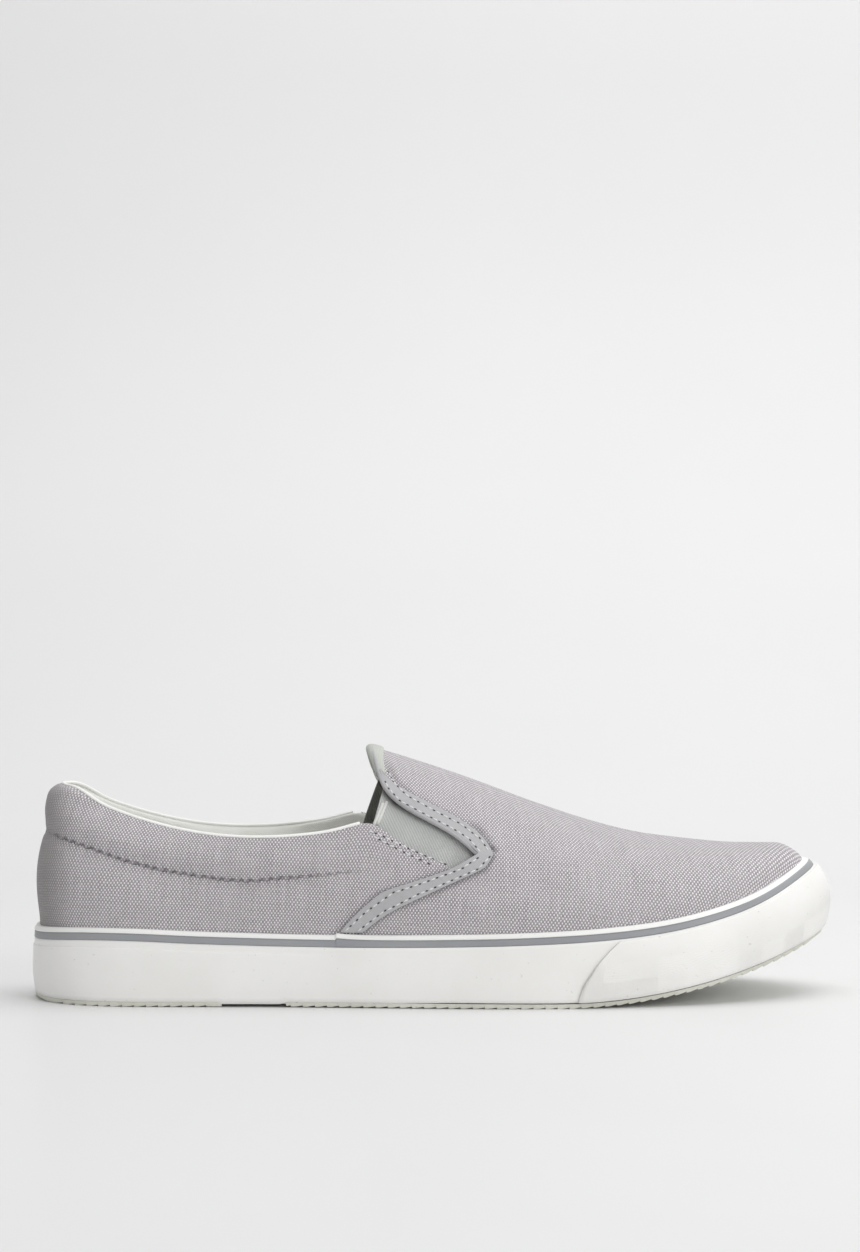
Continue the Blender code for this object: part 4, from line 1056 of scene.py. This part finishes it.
@dataclass
class CanvasUpper:
    """Hollow canvas upper with its padded collar, lining and weave."""

    node: str = "upper"
    seam_depth: float = 0.8 * MM
    seam_width: float = 1.5 * MM
    seam_fade: tuple[float, float] = (-62.0 * MM, -24.0 * MM)
    seam_front: float = 0.3
    seam_end: tuple[float, float] = (-34.0 * MM, -24.0 * MM)
    seam_hidden: tuple[float, float] = (134.5 * MM, 140.5 * MM)
    heel_start: float = -105.0 * MM
    heel_rear: tuple[float, float] = (112.0 * MM, 132.0 * MM)
    heel_shade_span: tuple[float, float] = (128.0 * MM, 141.5 * MM)
    heel_seam: float = 0.48 * MM
    pad_puff: float = 0.9 * MM
    pad_middle: float = 5.0 * MM
    pad_spread: float = 3.6 * MM
    heel_crown: float = 1.3 * MM
    crown_height: float = 73.5 * MM
    crown_spread: float = 2.8 * MM
    corner_rise: float = 2.0 * MM
    corner_reach: float = 8.0 * MM
    corner_low: tuple[float, float] = (46.0 * MM, 59.0 * MM)
    corner_high: tuple[float, float] = (64.0 * MM, 69.0 * MM)
    toe_round: float = 1.1 * MM
    toe_place: float = 131.0 * MM
    toe_reach: tuple[float, float] = (6.0 * MM, 24.0 * MM)
    collar_front: float = -27.5 * MM
    throat_front: float = 19.0 * MM
    throat_low: float = 48.0 * MM
    piping: float = 0.62 * MM
    piping_low: float = 52.0 * MM
    roll_box: tuple[float, float, float] = (18.0 * MM, 4.0 * MM, 50.0 * MM)
    roll: float = 0.85 * MM
    quarter_turn: float = -14.0
    vamp_turn: float = -13.0

    def outer_faces(self, bm: bmesh.types.BMesh) -> set:
        """Finds the outside of the wall, from the heel over soft edges only.

        Args:
            bm: the upper's copy.

        Returns:
            Its outer faces.
        """
        bm.normal_update()
        first = min(bm.faces, key=lambda face: face.calc_center_median().x)
        found, waiting = {first}, [first]
        while waiting:
            face = waiting.pop()
            for edge in face.edges:
                if edge.calc_face_angle() > math.radians(52.0):
                    continue
                for other in edge.link_faces:
                    if other not in found:
                        found.add(other)
                        waiting.append(other)
        return found

    def cut_lines(self, bm: bmesh.types.BMesh, outer: set) -> None:
        """Marks where the flat pattern is cut: round its rim, behind the strap and at the heel.

        Args:
            bm: the upper's copy.
            outer: its outer faces.
        """
        for edge in bm.edges:
            faces = [face in outer for face in edge.link_faces]
            if any(faces) and not all(faces):
                edge.seam = True
            ends = np.array([(vert.co.x, vert.co.z) for vert in edge.verts])
            distance, _ = line_distance(ends, STRAP_BACK)
            if np.abs(distance).max() < 0.3 * MM:
                edge.seam = True
            behind = all(vert.co.x < -0.12 for vert in edge.verts)
            if behind and all(abs(vert.co.y - self.heel_seam) < 0.3 * MM for vert in edge.verts):
                edge.seam = True

    def lay_flat(self, piece: bpy.types.Object) -> None:
        """Unwraps the pattern and gives each part its real size and grain direction.

        Args:
            piece: the upper before it is subdivided.
        """
        piece.data.uv_layers.new(name="pattern")
        bpy.context.view_layer.objects.active = piece
        piece.select_set(True)
        bpy.ops.object.mode_set(mode="EDIT")
        bpy.ops.mesh.select_all(action="SELECT")
        bpy.ops.uv.unwrap(method="ANGLE_BASED", margin=0.001)
        bpy.ops.object.mode_set(mode="OBJECT")
        piece.select_set(False)
        bm = bmesh.new()
        bm.from_mesh(piece.data)
        layer = bm.loops.layers.uv.active
        waiting = set(bm.faces)
        while waiting:
            island = self.island(waiting.pop(), waiting)
            self.square_up(island, layer)
        bm.to_mesh(piece.data)
        bm.free()

    def island(self, first: bmesh.types.BMFace, waiting: set) -> list:
        """Collects the faces of one flat part.

        Args:
            first: a face of it.
            waiting: the faces left, which it is taken out of.

        Returns:
            The part's faces.
        """
        faces, edge_of = [first], [first]
        while edge_of:
            face = edge_of.pop()
            for edge in face.edges:
                if edge.seam:
                    continue
                for other in edge.link_faces:
                    if other in waiting:
                        waiting.discard(other)
                        faces.append(other)
                        edge_of.append(other)
        return faces

    def square_up(self, faces: list, layer: object) -> None:
        """Turns and scales one flat part so that its threads run along the shoe.

        Args:
            faces: the part's faces.
            layer: the UV layer.
        """
        loops = [loop for face in faces for loop in face.loops]
        flat = np.array([loop[layer].uv for loop in loops])
        places = np.array([loop.vert.co for loop in loops])
        area = sum(face.calc_area() for face in faces)
        normal = np.array(sum((face.normal * face.calc_area() for face in faces), Vector()))
        quarter = abs(normal[1]) > 0.8 * np.linalg.norm(normal)
        goal = places[:, (0, 2)] if quarter else places[:, :2]
        shift, aim = flat.mean(axis=0), goal.mean(axis=0)
        fit, *_ = np.linalg.lstsq(flat - shift, goal - aim, rcond=None)
        left, _, right = np.linalg.svd(fit)
        turned = (flat - shift) @ (left @ right)
        covered = 0.0
        start = 0
        for face in faces:
            corners = turned[start : start + len(face.loops)]
            start += len(face.loops)
            nearby = np.roll(corners, -1, axis=0)
            covered += abs(np.sum(corners[:, 0] * nearby[:, 1] - corners[:, 1] * nearby[:, 0])) / 2.0
        turned *= math.sqrt(area / max(covered, 1e-12))
        angle = math.radians(self.quarter_turn if quarter else self.vamp_turn)
        grain = np.array(((math.cos(angle), math.sin(angle)), (-math.sin(angle), math.cos(angle))))
        for loop, spot in zip(loops, turned @ grain):
            loop[layer].uv = spot

    def shape(self, piece: bpy.types.Object) -> None:
        """Presses in the collar's seam and the listed creases.

        Args:
            piece: the subdivided upper.
        """
        places, normals = verts_of(piece), normals_of(piece)
        flat = places[:, (0, 2)]
        distance, along = line_distance(flat, PAD_SEAM)
        aside = normals[:, 1] * np.sign(places[:, 1])
        behind = -normals[:, 0] * (places[:, 0] < self.heel_start)
        outside = (aside + np.maximum(behind, 0.0)) > 0.15
        hold = 1.0 - (1.0 - self.seam_front) * ease(places[:, 0], *self.seam_fade)
        hold = hold * (1.0 - ease(places[:, 0], *self.seam_end)) * outside
        push = self.pad_push(places, distance, along, hold, outside)
        places = places + normals * push[:, None]
        corner = ease(places[:, 2], *self.corner_low) * (1.0 - ease(places[:, 2], *self.corner_high))
        corner = bell(places[:, 0], self.collar_front, self.corner_reach) * corner * self.corner_rise
        places[:, 2] += corner
        places[:, 0] += 0.5 * corner
        long, wide = self.toe_reach
        tip = bell(places[:, 0], self.toe_place, long) * bell(places[:, 1], 0.0, wide)
        tip = tip * (normals[:, 2] > 0.1) * self.toe_round
        places = places + normals * tip[:, None]
        for crease in CREASES:
            gap, run = line_distance(flat, crease.marks)
            fit = bell(gap, 0.0, crease.width * MM)
            same = places[:, 1] * crease.side.value > 0.0
            places = places + normals * (fit * crease.depth * MM * same)[:, None]
        move_to(piece, places)
        store(piece, "seam_distance", distance)
        store(piece, "seam_along", along)
        store(piece, "seam_hold", hold * (1.0 - 0.85 * ease(-places[:, 0], *self.seam_hidden)))
        # Painted shade towards the heel's back, on the outside only.
        store(piece, "heel_shade", 0.75 * ease(-places[:, 0], *self.heel_shade_span) * outside)
        store(piece, "edge_shade", self.edge_shade(flat))

    def pad_push(
        self,
        places: np.ndarray,
        distance: np.ndarray,
        along: np.ndarray,
        hold: np.ndarray,
        outside: np.ndarray,
    ) -> np.ndarray:
        """Outward push of the padded collar over its seam.

        Args:
            places: the upper's points.
            distance: their distance to the seam.
            along: their place along the seam.
            hold: how strong the seam is there, 0 to 1.
            outside: which points are on the outside.

        Returns:
            The push of each point, metres.
        """
        groove = bell(distance, 0.0, self.seam_width) * hold
        puff = bell(distance, self.pad_middle, self.pad_spread) * hold
        beat = 0.5 + 0.5 * np.cos(along * math.tau / PUCKER)
        rear = ease(-places[:, 0], *self.heel_rear) * outside
        crown = bell(places[:, 2], self.crown_height, self.crown_spread) * rear * self.heel_crown
        puff = puff * self.pad_puff * (1.0 - 1.4 * rear)
        return puff - groove * self.seam_depth * (0.75 + 0.25 * beat) + crown

    def edge_shade(self, flat: np.ndarray) -> np.ndarray:
        """Painted shadow that the tape's edges leave on the canvas, darkest in the gap by the throat.

        Args:
            flat: rows of (x, z), metres.

        Returns:
            The shadow at each row, 0 to 1.
        """
        shade = np.zeros(len(flat))
        for line, strength in ((STRAP_FRONT, 0.55), (THROAT_OUTER, 0.35), (STRAP_BACK, 0.3)):
            distance, _ = line_distance(flat, line)
            shade = np.maximum(shade, strength * bell(distance, 0.0, 0.9 * MM))
        distance, _ = line_distance(flat, TAPE_GAP_SHADE)
        return np.maximum(shade, 0.95 * bell(distance, 0.0, 0.8 * MM))

    def line_rim(self, bm: bmesh.types.BMesh, outer: set) -> None:
        """Gives the wall's parts their cloth: canvas outside, lining inside, tape at the throat.

        Args:
            bm: the upper's copy.
            outer: its outer faces.
        """
        for face in bm.faces:
            face.material_index = 0 if face in outer else 1
        for face in bm.faces:
            beside = any(other in outer for edge in face.edges for other in edge.link_faces)
            if face in outer or not beside:
                continue
            middle = face.calc_center_median()
            if not self.collar_front <= middle.x <= self.throat_front or middle.z < self.throat_low:
                continue
            above, _ = line_distance(np.array([(middle.x, middle.z)]), GORE_AXIS)
            face.material_index = 2 if above[0] > 0.0 else 0

    def rim_line(self, piece: bpy.types.Object, cloth: int) -> list[Vector]:
        """Points where the outer canvas meets the lining or the tape.

        Args:
            piece: the shaped upper.
            cloth: material slot on the far side of the edge.

        Returns:
            The points, in no order.
        """
        bm = bmesh.new()
        bm.from_mesh(piece.data)
        found = set()
        for edge in bm.edges:
            if {face.material_index for face in edge.link_faces} == {0, cloth}:
                found.update(edge.verts)
        places = [vert.co.copy() for vert in found]
        bm.free()
        return places

    def collar_piping(self, piece: bpy.types.Object) -> bpy.types.Object:
        """Rolls the lining over the collar's top edge as a thin cream line.

        Args:
            piece: the shaped upper.

        Returns:
            The piping.
        """
        rim = self.rim_line(piece, 1)
        low = [place for place in rim if place.z > self.piping_low and place.x < self.collar_front]
        ring = sorted(low, key=lambda place: math.atan2(place.y, self.collar_front + 0.002 - place.x))
        rows = evened(np.array([tuple(place) for place in ring]), 1.5 * MM, 4)
        middle = np.column_stack([np.clip(rows[:, 0], -0.105, -0.02), np.zeros(len(rows))])
        inward = middle - rows[:, :2]
        inward /= np.linalg.norm(inward, axis=1)[:, None]
        rows[:, :2] += inward * 0.35 * MM
        rows[:, 2] += 0.05 * MM
        piping = tube("collar_piping", rows, self.piping, Lining("piping_cloth").material())
        return carry(piping, "canvas")

    def throat_roll(
        self, piece: bpy.types.Object, side: Side, finish: bpy.types.Material
    ) -> bpy.types.Object:
        """Rolls the tape over the throat's edge.

        Args:
            piece: the shaped upper.
            side: the side of the shoe.
            finish: the tape's material.

        Returns:
            The rolled edge.
        """
        front, beside, low = self.roll_box
        rim = [place for place in self.rim_line(piece, 2) if place.x < front and place.z > low]
        edge = sorted((place for place in rim if place.y * side.value > beside), key=lambda place: place.x)
        rows = evened(np.array([tuple(place) for place in edge]), 1.2 * MM, 6)
        rows[:, 1] += side.value * 0.35 * MM
        rows[:, 2] += 0.1 * MM
        return carry(tube(f"throat_roll_{side.name.lower()}", rows, self.roll, finish), "tape")

    def build(self) -> list[bpy.types.Object]:
        """Builds the upper with its piping and rolled edges.

        Returns:
            The pieces.
        """
        bm = cloth_copy(self.node, 55.0, 1.0)
        outer = self.outer_faces(bm)
        self.line_rim(bm, outer)
        self.cut_lines(bm, outer)
        tape = TAPE.material()
        piece = object_of(bm, "canvas_upper", Canvas().material(), Lining().material(), tape)
        self.lay_flat(piece)
        smooth(piece, 2)
        self.shape(piece)
        rolls = [self.throat_roll(piece, side, tape) for side in Side]
        return [carry(piece, "canvas", self.node), self.collar_piping(piece), *rolls]


@dataclass
class Gore:
    """Elastic gore between quarter and tongue, with its piped rear edge."""

    side: Side
    levels: int = 3
    cord: float = 0.6 * MM
    cord_shifts: tuple[float, float] = (0.75, 2.1)

    def build(self) -> bpy.types.Object:
        """Builds the gore.

        Returns:
            The piece.
        """
        name = f"gore_{self.side.name.lower()}"
        pale, shade = srgb(200, 202, 200), srgb(164, 166, 164)
        finish = Woven("ribbed_elastic", pale, shade, 24.0, 0.9 * MM, 0.08 * MM, 0.45)
        piece = object_of(cloth_copy(name, 60.0), f"elastic_{name}", finish.material())
        smooth(piece, self.levels)
        self.shade(piece)
        self.rear_piping(piece)
        return carry(piece, "elastic", name)

    def shade(self, piece: bpy.types.Object) -> None:
        """Paints shade on the gore's inside and on the line where it goes under the rolled edge.

        Args:
            piece: the gore.
        """
        places, normals = verts_of(piece), normals_of(piece)
        distance, _ = line_distance(places[:, [0, 2]], THROAT_INNER)
        tucked_shade = 0.92 * bell(distance, 0.0, 1.5 * MM)
        inside = np.where(normals[:, 1] * self.side.value < -0.1, 0.72, 0.0)
        store(piece, "edge_shade", np.maximum(tucked_shade, inside))

    def rear_piping(self, piece: bpy.types.Object) -> None:
        """Doubles the gore's rear edge with two thin cords.

        Args:
            piece: the gore.
        """
        skin = Skin([piece])
        pale, shade = srgb(226, 226, 223), srgb(196, 196, 192)
        finish = Woven("elastic_edge", pale, shade, 0.0, 0.6 * MM, 0.03 * MM, 0.3).material()
        for number, shift in enumerate(self.cord_shifts):
            marks = [Mark(mark.x + shift, mark.z + 0.4 * shift) for mark in GORE_REAR]
            hits = [skin.at(mark, self.side) for mark in marks]
            places = [tuple(place + normal * 0.15 * MM) for place, normal in filter(None, hits)]
            if len(places) < 2:
                LOG.warning("%s: no rear edge found", piece.name)
                continue
            rows = evened(np.array(places), 1.2 * MM, 2)
            carry(tube(f"{piece.name}_edge_{number}", rows, self.cord, finish), "elastic")


@dataclass
class ThroatTape:
    """Tape up the strap and along the throat, with rounded edges."""

    side: Side
    levels: int = 3

    def build(self) -> bpy.types.Object:
        """Builds the tape.

        Returns:
            The piece.
        """
        name = f"throat_tape_{self.side.name.lower()}"
        piece = object_of(cloth_copy(name, 70.0), f"sewn_{name}", TAPE.material())
        smooth(piece, self.levels)
        return carry(piece, "tape", name)


@dataclass
class TongueBinding:
    """Soft band rolled over the tongue's top edge."""

    levels: int = 3

    def build(self) -> bpy.types.Object:
        """Builds the binding.

        Returns:
            The piece.
        """
        pale, shade = srgb(200, 203, 196), srgb(172, 175, 167)
        finish = Woven("soft_binding", pale, shade, 0.0, 0.6 * MM, 0.04 * MM, 0.3).material()
        piece = object_of(cloth_copy("tongue_binding", 95.0), "rolled_tongue_binding", finish)
        smooth(piece, self.levels)
        return carry(piece, "binding", "tongue_binding")


WHITE = (srgb(247, 246, 244), srgb(240, 239, 236))
BRIGHT = (srgb(247, 247, 245), srgb(240, 240, 237))
GREY = (srgb(158, 160, 163), srgb(148, 150, 154))
TREAD = (srgb(226, 226, 216), srgb(208, 208, 196))


@dataclass
class SideWall:
    """White side wall, its two strips and the textured bumper."""

    levels: int = 2
    height: float = 26.0 * MM
    spine: float = 90.0 * MM
    spring_start: float = 39.6 * MM
    spring_length: float = 106.0 * MM
    spring_rise: float = 23.6 * MM
    joint: float = -38.0 * MM
    joint_step: float = 0.7 * MM
    joint_out: float = 0.25 * MM
    joint_half: float = 0.35 * MM
    joint_fade: float = 7.0 * MM
    joint_rings: tuple[float, ...] = (-2.5, -1.2, -0.35, 0.35, 1.2, 2.5, 5.0)
    foot: float = 6.0 * MM
    foot_press: float = 0.35 * MM
    foot_fade: tuple[float, float] = (-20.0 * MM, 5.0 * MM)
    arch_press: float = 0.75 * MM
    arch_rear: tuple[float, float] = (-80.0 * MM, -77.5 * MM)
    arch_front: tuple[float, float] = (-57.5 * MM, -55.0 * MM)
    ridge: float = 14.0 * MM
    ridge_rise: float = 0.55 * MM
    stripe_moves: tuple[float, float] = (0.2 * MM, -0.3 * MM)
    strip_moves: tuple[float, float] = (-0.6 * MM, 0.1 * MM)

    def wrap_map(self, piece: bpy.types.Object) -> None:
        """Gives a wrapped piece a UV map of distance round the shoe and height.

        Args:
            piece: the piece.
        """
        places = verts_of(piece)
        spine = np.clip(places[:, 0], -self.spine, self.spine)
        angle = np.arctan2(places[:, 0] - spine, np.abs(places[:, 1]))
        reach = np.hypot(places[:, 0] - spine, places[:, 1])
        around = spine + angle * reach
        layer = piece.data.uv_layers.new(name="wrap")
        corners = np.empty(len(piece.data.loops), np.int32)
        piece.data.loops.foreach_get("vertex_index", corners)
        spots = np.column_stack([around, places[:, 2]])[corners]
        layer.data.foreach_set("uv", spots.astype(np.float32).ravel())
        above = places[:, 2] - self.lift(places[:, 0])
        store(piece, "rise", np.clip(above / self.height, 0.0, 1.0))

    def lift(self, x: np.ndarray) -> np.ndarray:
        """Toe spring under the sole at x."""
        return self.spring_rise * (np.maximum(x - self.spring_start, 0.0) / self.spring_length) ** 2

    def wrapped(self, node: str, name: str, finish: Rubber, slot: str) -> bpy.types.Object:
        """Builds one wrapped rubber piece.

        Args:
            node: its CAD node.
            name: its name.
            finish: its rubber.
            slot: its material slot.

        Returns:
            The piece.
        """
        bm = cloth_copy(node, 32.0)
        if node in ("foxing_stripe", "foxing_top_strip"):
            self.cut_joint(bm)
        piece = object_of(bm, name, finish.material())
        smooth(piece, self.levels)
        self.close_gaps(piece, node)
        self.wrap_map(piece)
        return carry(piece, slot, node)

    def cut_joint(self, bm: bmesh.types.BMesh) -> None:
        """Cuts close rings into a strip where its ends overlap on the lateral side.

        Args:
            bm: the strip's copy.
        """
        along = (1.0, 0.0, 0.0)
        for shift in self.joint_rings:
            near = [face for face in bm.faces if face.calc_center_median().y < 0.0]
            parts = list({item for face in near for item in (face, *face.edges, *face.verts)})
            place = (self.joint + shift * MM, 0.0, 0.0)
            bmesh.ops.bisect_plane(bm, geom=parts, dist=0.01 * MM, plane_co=place, plane_no=along)

    def close_gaps(self, piece: bpy.types.Object, node: str) -> None:
        """Presses the rubber layers together and steps the strips at their joint.

        Args:
            piece: the smoothed piece.
            node: its CAD node.
        """
        if node == "toe_bumper":
            return
        places, normals = verts_of(piece), normals_of(piece)
        up = np.clip(normals[:, 2] * 2.0, -1.0, 1.0)
        if node == "foxing":
            self.press_wall(places, up)
        else:
            top, bottom = self.stripe_moves if node == "foxing_stripe" else self.strip_moves
            places[:, 2] += up * np.where(up > 0.0, top, bottom)
            beyond = places[:, 0] - self.joint
            lapped = ease(beyond, -self.joint_half, self.joint_half) * (places[:, 1] < 0.0)
            lapped = lapped * np.exp(-np.maximum(beyond, 0.0) / self.joint_fade)
            held = (up < 0.0) & (node == "foxing_stripe")
            places[:, 2] += lapped * self.joint_step * ~held
            places[:, 1] -= lapped * self.joint_out
        move_to(piece, places)

    def press_wall(self, places: np.ndarray, up: np.ndarray) -> None:
        """Presses the side wall's foot onto the tread and its ridge onto the stripe.

        Args:
            places: the wall's points, which are moved.
            up: how far each faces up, -1 to 1.
        """
        low = places[:, 2] - self.lift(places[:, 0]) < self.foot
        foot = self.foot_press * (1.0 - ease(places[:, 0], *self.foot_fade))
        arch = ease(places[:, 0], *self.arch_rear) * (1.0 - ease(places[:, 0], *self.arch_front))
        down = foot + self.arch_press * arch
        places[:, 2] += np.where(low & (up < 0.0), up * down, 0.0)
        high = places[:, 2] - self.lift(places[:, 0]) > self.ridge
        places[:, 2] += np.where(high & (up > 0.0), up * self.ridge_rise, 0.0)

    def build(self) -> list[bpy.types.Object]:
        """Builds the wall.

        Returns:
            Its pieces.
        """
        wall = Rubber("white_wall_rubber", *WHITE)
        strip = Rubber("bright_strip_rubber", *BRIGHT)
        stripe = Rubber("grey_stripe_rubber", *GREY, roughness=0.5)
        bumper = Rubber("hatched_bumper_rubber", *WHITE, hatch=1.0 * MM)
        return [
            self.wrapped("foxing", "white_foxing", wall, "foxing_rubber"),
            self.wrapped("foxing_stripe", "grey_stripe", stripe, "stripe_rubber"),
            self.wrapped("foxing_top_strip", "white_top_strip", strip, "foxing_rubber"),
            self.wrapped("toe_bumper", "hatched_toe_bumper", bumper, "foxing_rubber"),
        ]


@dataclass
class Outsole:
    """Tread plate, kept as the CAD has it, in its own rubber."""

    def build(self) -> None:
        """Gives the tread its rubber."""
        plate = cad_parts["outsole"]
        finish = Rubber("tread_rubber", *TREAD, roughness=0.6, grime=0.5, tread=6.0 * MM).material()
        for slot in plate.material_slots:
            slot.material = finish
        LOG.info("outsole: rubber on the CAD's tread")


@dataclass
class Footbed:
    """Soft insole with a cloth cover."""

    def build(self) -> bpy.types.Object:
        """Builds the insole.

        Returns:
            The piece.
        """
        pale, shade = srgb(214, 214, 207), srgb(186, 186, 178)
        finish = Woven("insole_cloth", pale, shade, 0.0, 0.9 * MM, 0.08 * MM, 0.5, 0.9 * MM)
        piece = object_of(cloth_copy("insole", 40.0), "cloth_insole", finish.material())
        smooth(piece, 2)
        return carry(piece, "insole_cloth", "insole")


@dataclass
class Stitching:
    """Lockstitch rows on tape and quarter: thread, and dark beads of painted shade at the needle's
    punctures.
    """

    skin: Skin
    length: float = 2.0 * MM
    pitch: float = 3.2 * MM
    width: float = 0.62 * MM
    height: float = 0.42 * MM
    shadow_bead: tuple[float, float, float] = (1.15 * MM, 0.66 * MM, 0.16 * MM)

    def run(self, marks: Sequence[Mark], side: Side) -> list[tuple[Vector, Vector, Vector]]:
        """Places stitches along a line of marks.

        Args:
            marks: the line in side view.
            side: the side that it is on.

        Returns:
            Middle, direction and normal of each stitch.
        """
        flat = path_of([(mark.x, mark.z) for mark in marks])
        fine = along_path(flat, np.arange(0.0, flat.run[-1], 0.4))
        hits = [self.skin.at(Mark(x, z), side) for x, z in fine]
        hits = [hit for hit in hits if hit is not None]
        path = path_of([tuple(place) for place, _ in hits])
        normals = np.array([tuple(normal) for _, normal in hits])
        stitches = []
        for at in np.arange(self.pitch * 0.6, path.run[-1] - self.pitch * 0.4, self.pitch):
            ends = along_path(path, np.array([at - self.length / 2.0, at, at + self.length / 2.0]))
            normal = Vector([np.interp(at, path.run, column) for column in normals.T]).normalized()
            way = Vector(ends[2] - ends[0]).normalized()
            stitches.append((Vector(ends[1]), way, normal))
        return stitches

    def bead(
        self,
        bm: bmesh.types.BMesh,
        place: Vector,
        way: Vector,
        normal: Vector,
        size: tuple[float, float, float],
    ) -> None:
        """Adds one small rounded body that lies on the surface.

        Args:
            bm: the mesh to add to.
            place: its middle.
            way: its long direction.
            normal: the surface's normal.
            size: its length, width and height.
        """
        flat = (way - normal * way.dot(normal)).normalized()
        cross = normal.cross(flat)
        turn = Matrix((flat, cross, normal)).transposed().to_4x4()
        scale = Matrix.Diagonal((size[0] / 2.0, size[1] / 2.0, size[2] / 2.0, 1.0))
        matrix = Matrix.Translation(place) @ turn @ scale
        made = bmesh.ops.create_uvsphere(bm, u_segments=6, v_segments=5, radius=1.0, matrix=matrix)
        for face in {face for vert in made["verts"] for face in vert.link_faces}:
            face.smooth = True

    def rows(self) -> list[tuple[list[Mark], Side]]:
        """All rows of stitches on both sides."""
        rows = []
        for side in Side:
            for share in (0.24, 0.78):
                rows.append((between(STRAP_BACK, STRAP_FRONT, share), side))
                rows.append((between(THROAT_INNER, THROAT_OUTER, share), side))
            rows.append((list(GORE_ROW), side))
            rows.append((list(GORE_SECOND_ROW), side))
        return rows

    def build(self) -> list[bpy.types.Object]:
        """Builds thread and the dark beads of painted shade.

        Returns:
            The two pieces.
        """
        threads, shadow_beads = bmesh.new(), bmesh.new()
        for marks, side in self.rows():
            for place, way, normal in self.run(marks, side):
                size = (self.length, self.width, self.height)
                self.bead(threads, place, way, normal, size)
                end = place + way * (self.pitch / 2.0)
                # Painted shade: a dark bead half a pitch on from each stitch, at the needle's puncture.
                self.bead(shadow_beads, end, way, normal, self.shadow_bead)
        thread = object_of(threads, "thread_rows", Thread().material())
        shadow_bead = object_of(shadow_beads, "painted_stitch_shadows", StitchShadow().material())
        return [carry(thread, "tape"), carry(shadow_bead, "tape")]


def main() -> None:
    """Builds the studio and every part of the shoe, in order."""
    logging.basicConfig(level=logging.INFO, format="%(message)s")
    Studio().build()
    cloth = CanvasUpper().build()
    for side in Side:
        cloth.append(Gore(side).build())
        cloth.append(ThroatTape(side).build())
    cloth.append(TongueBinding().build())
    SideWall().build()
    Outsole().build()
    Footbed().build()
    Stitching(Skin(cloth)).build()


if __name__ == "__main__":
    main()
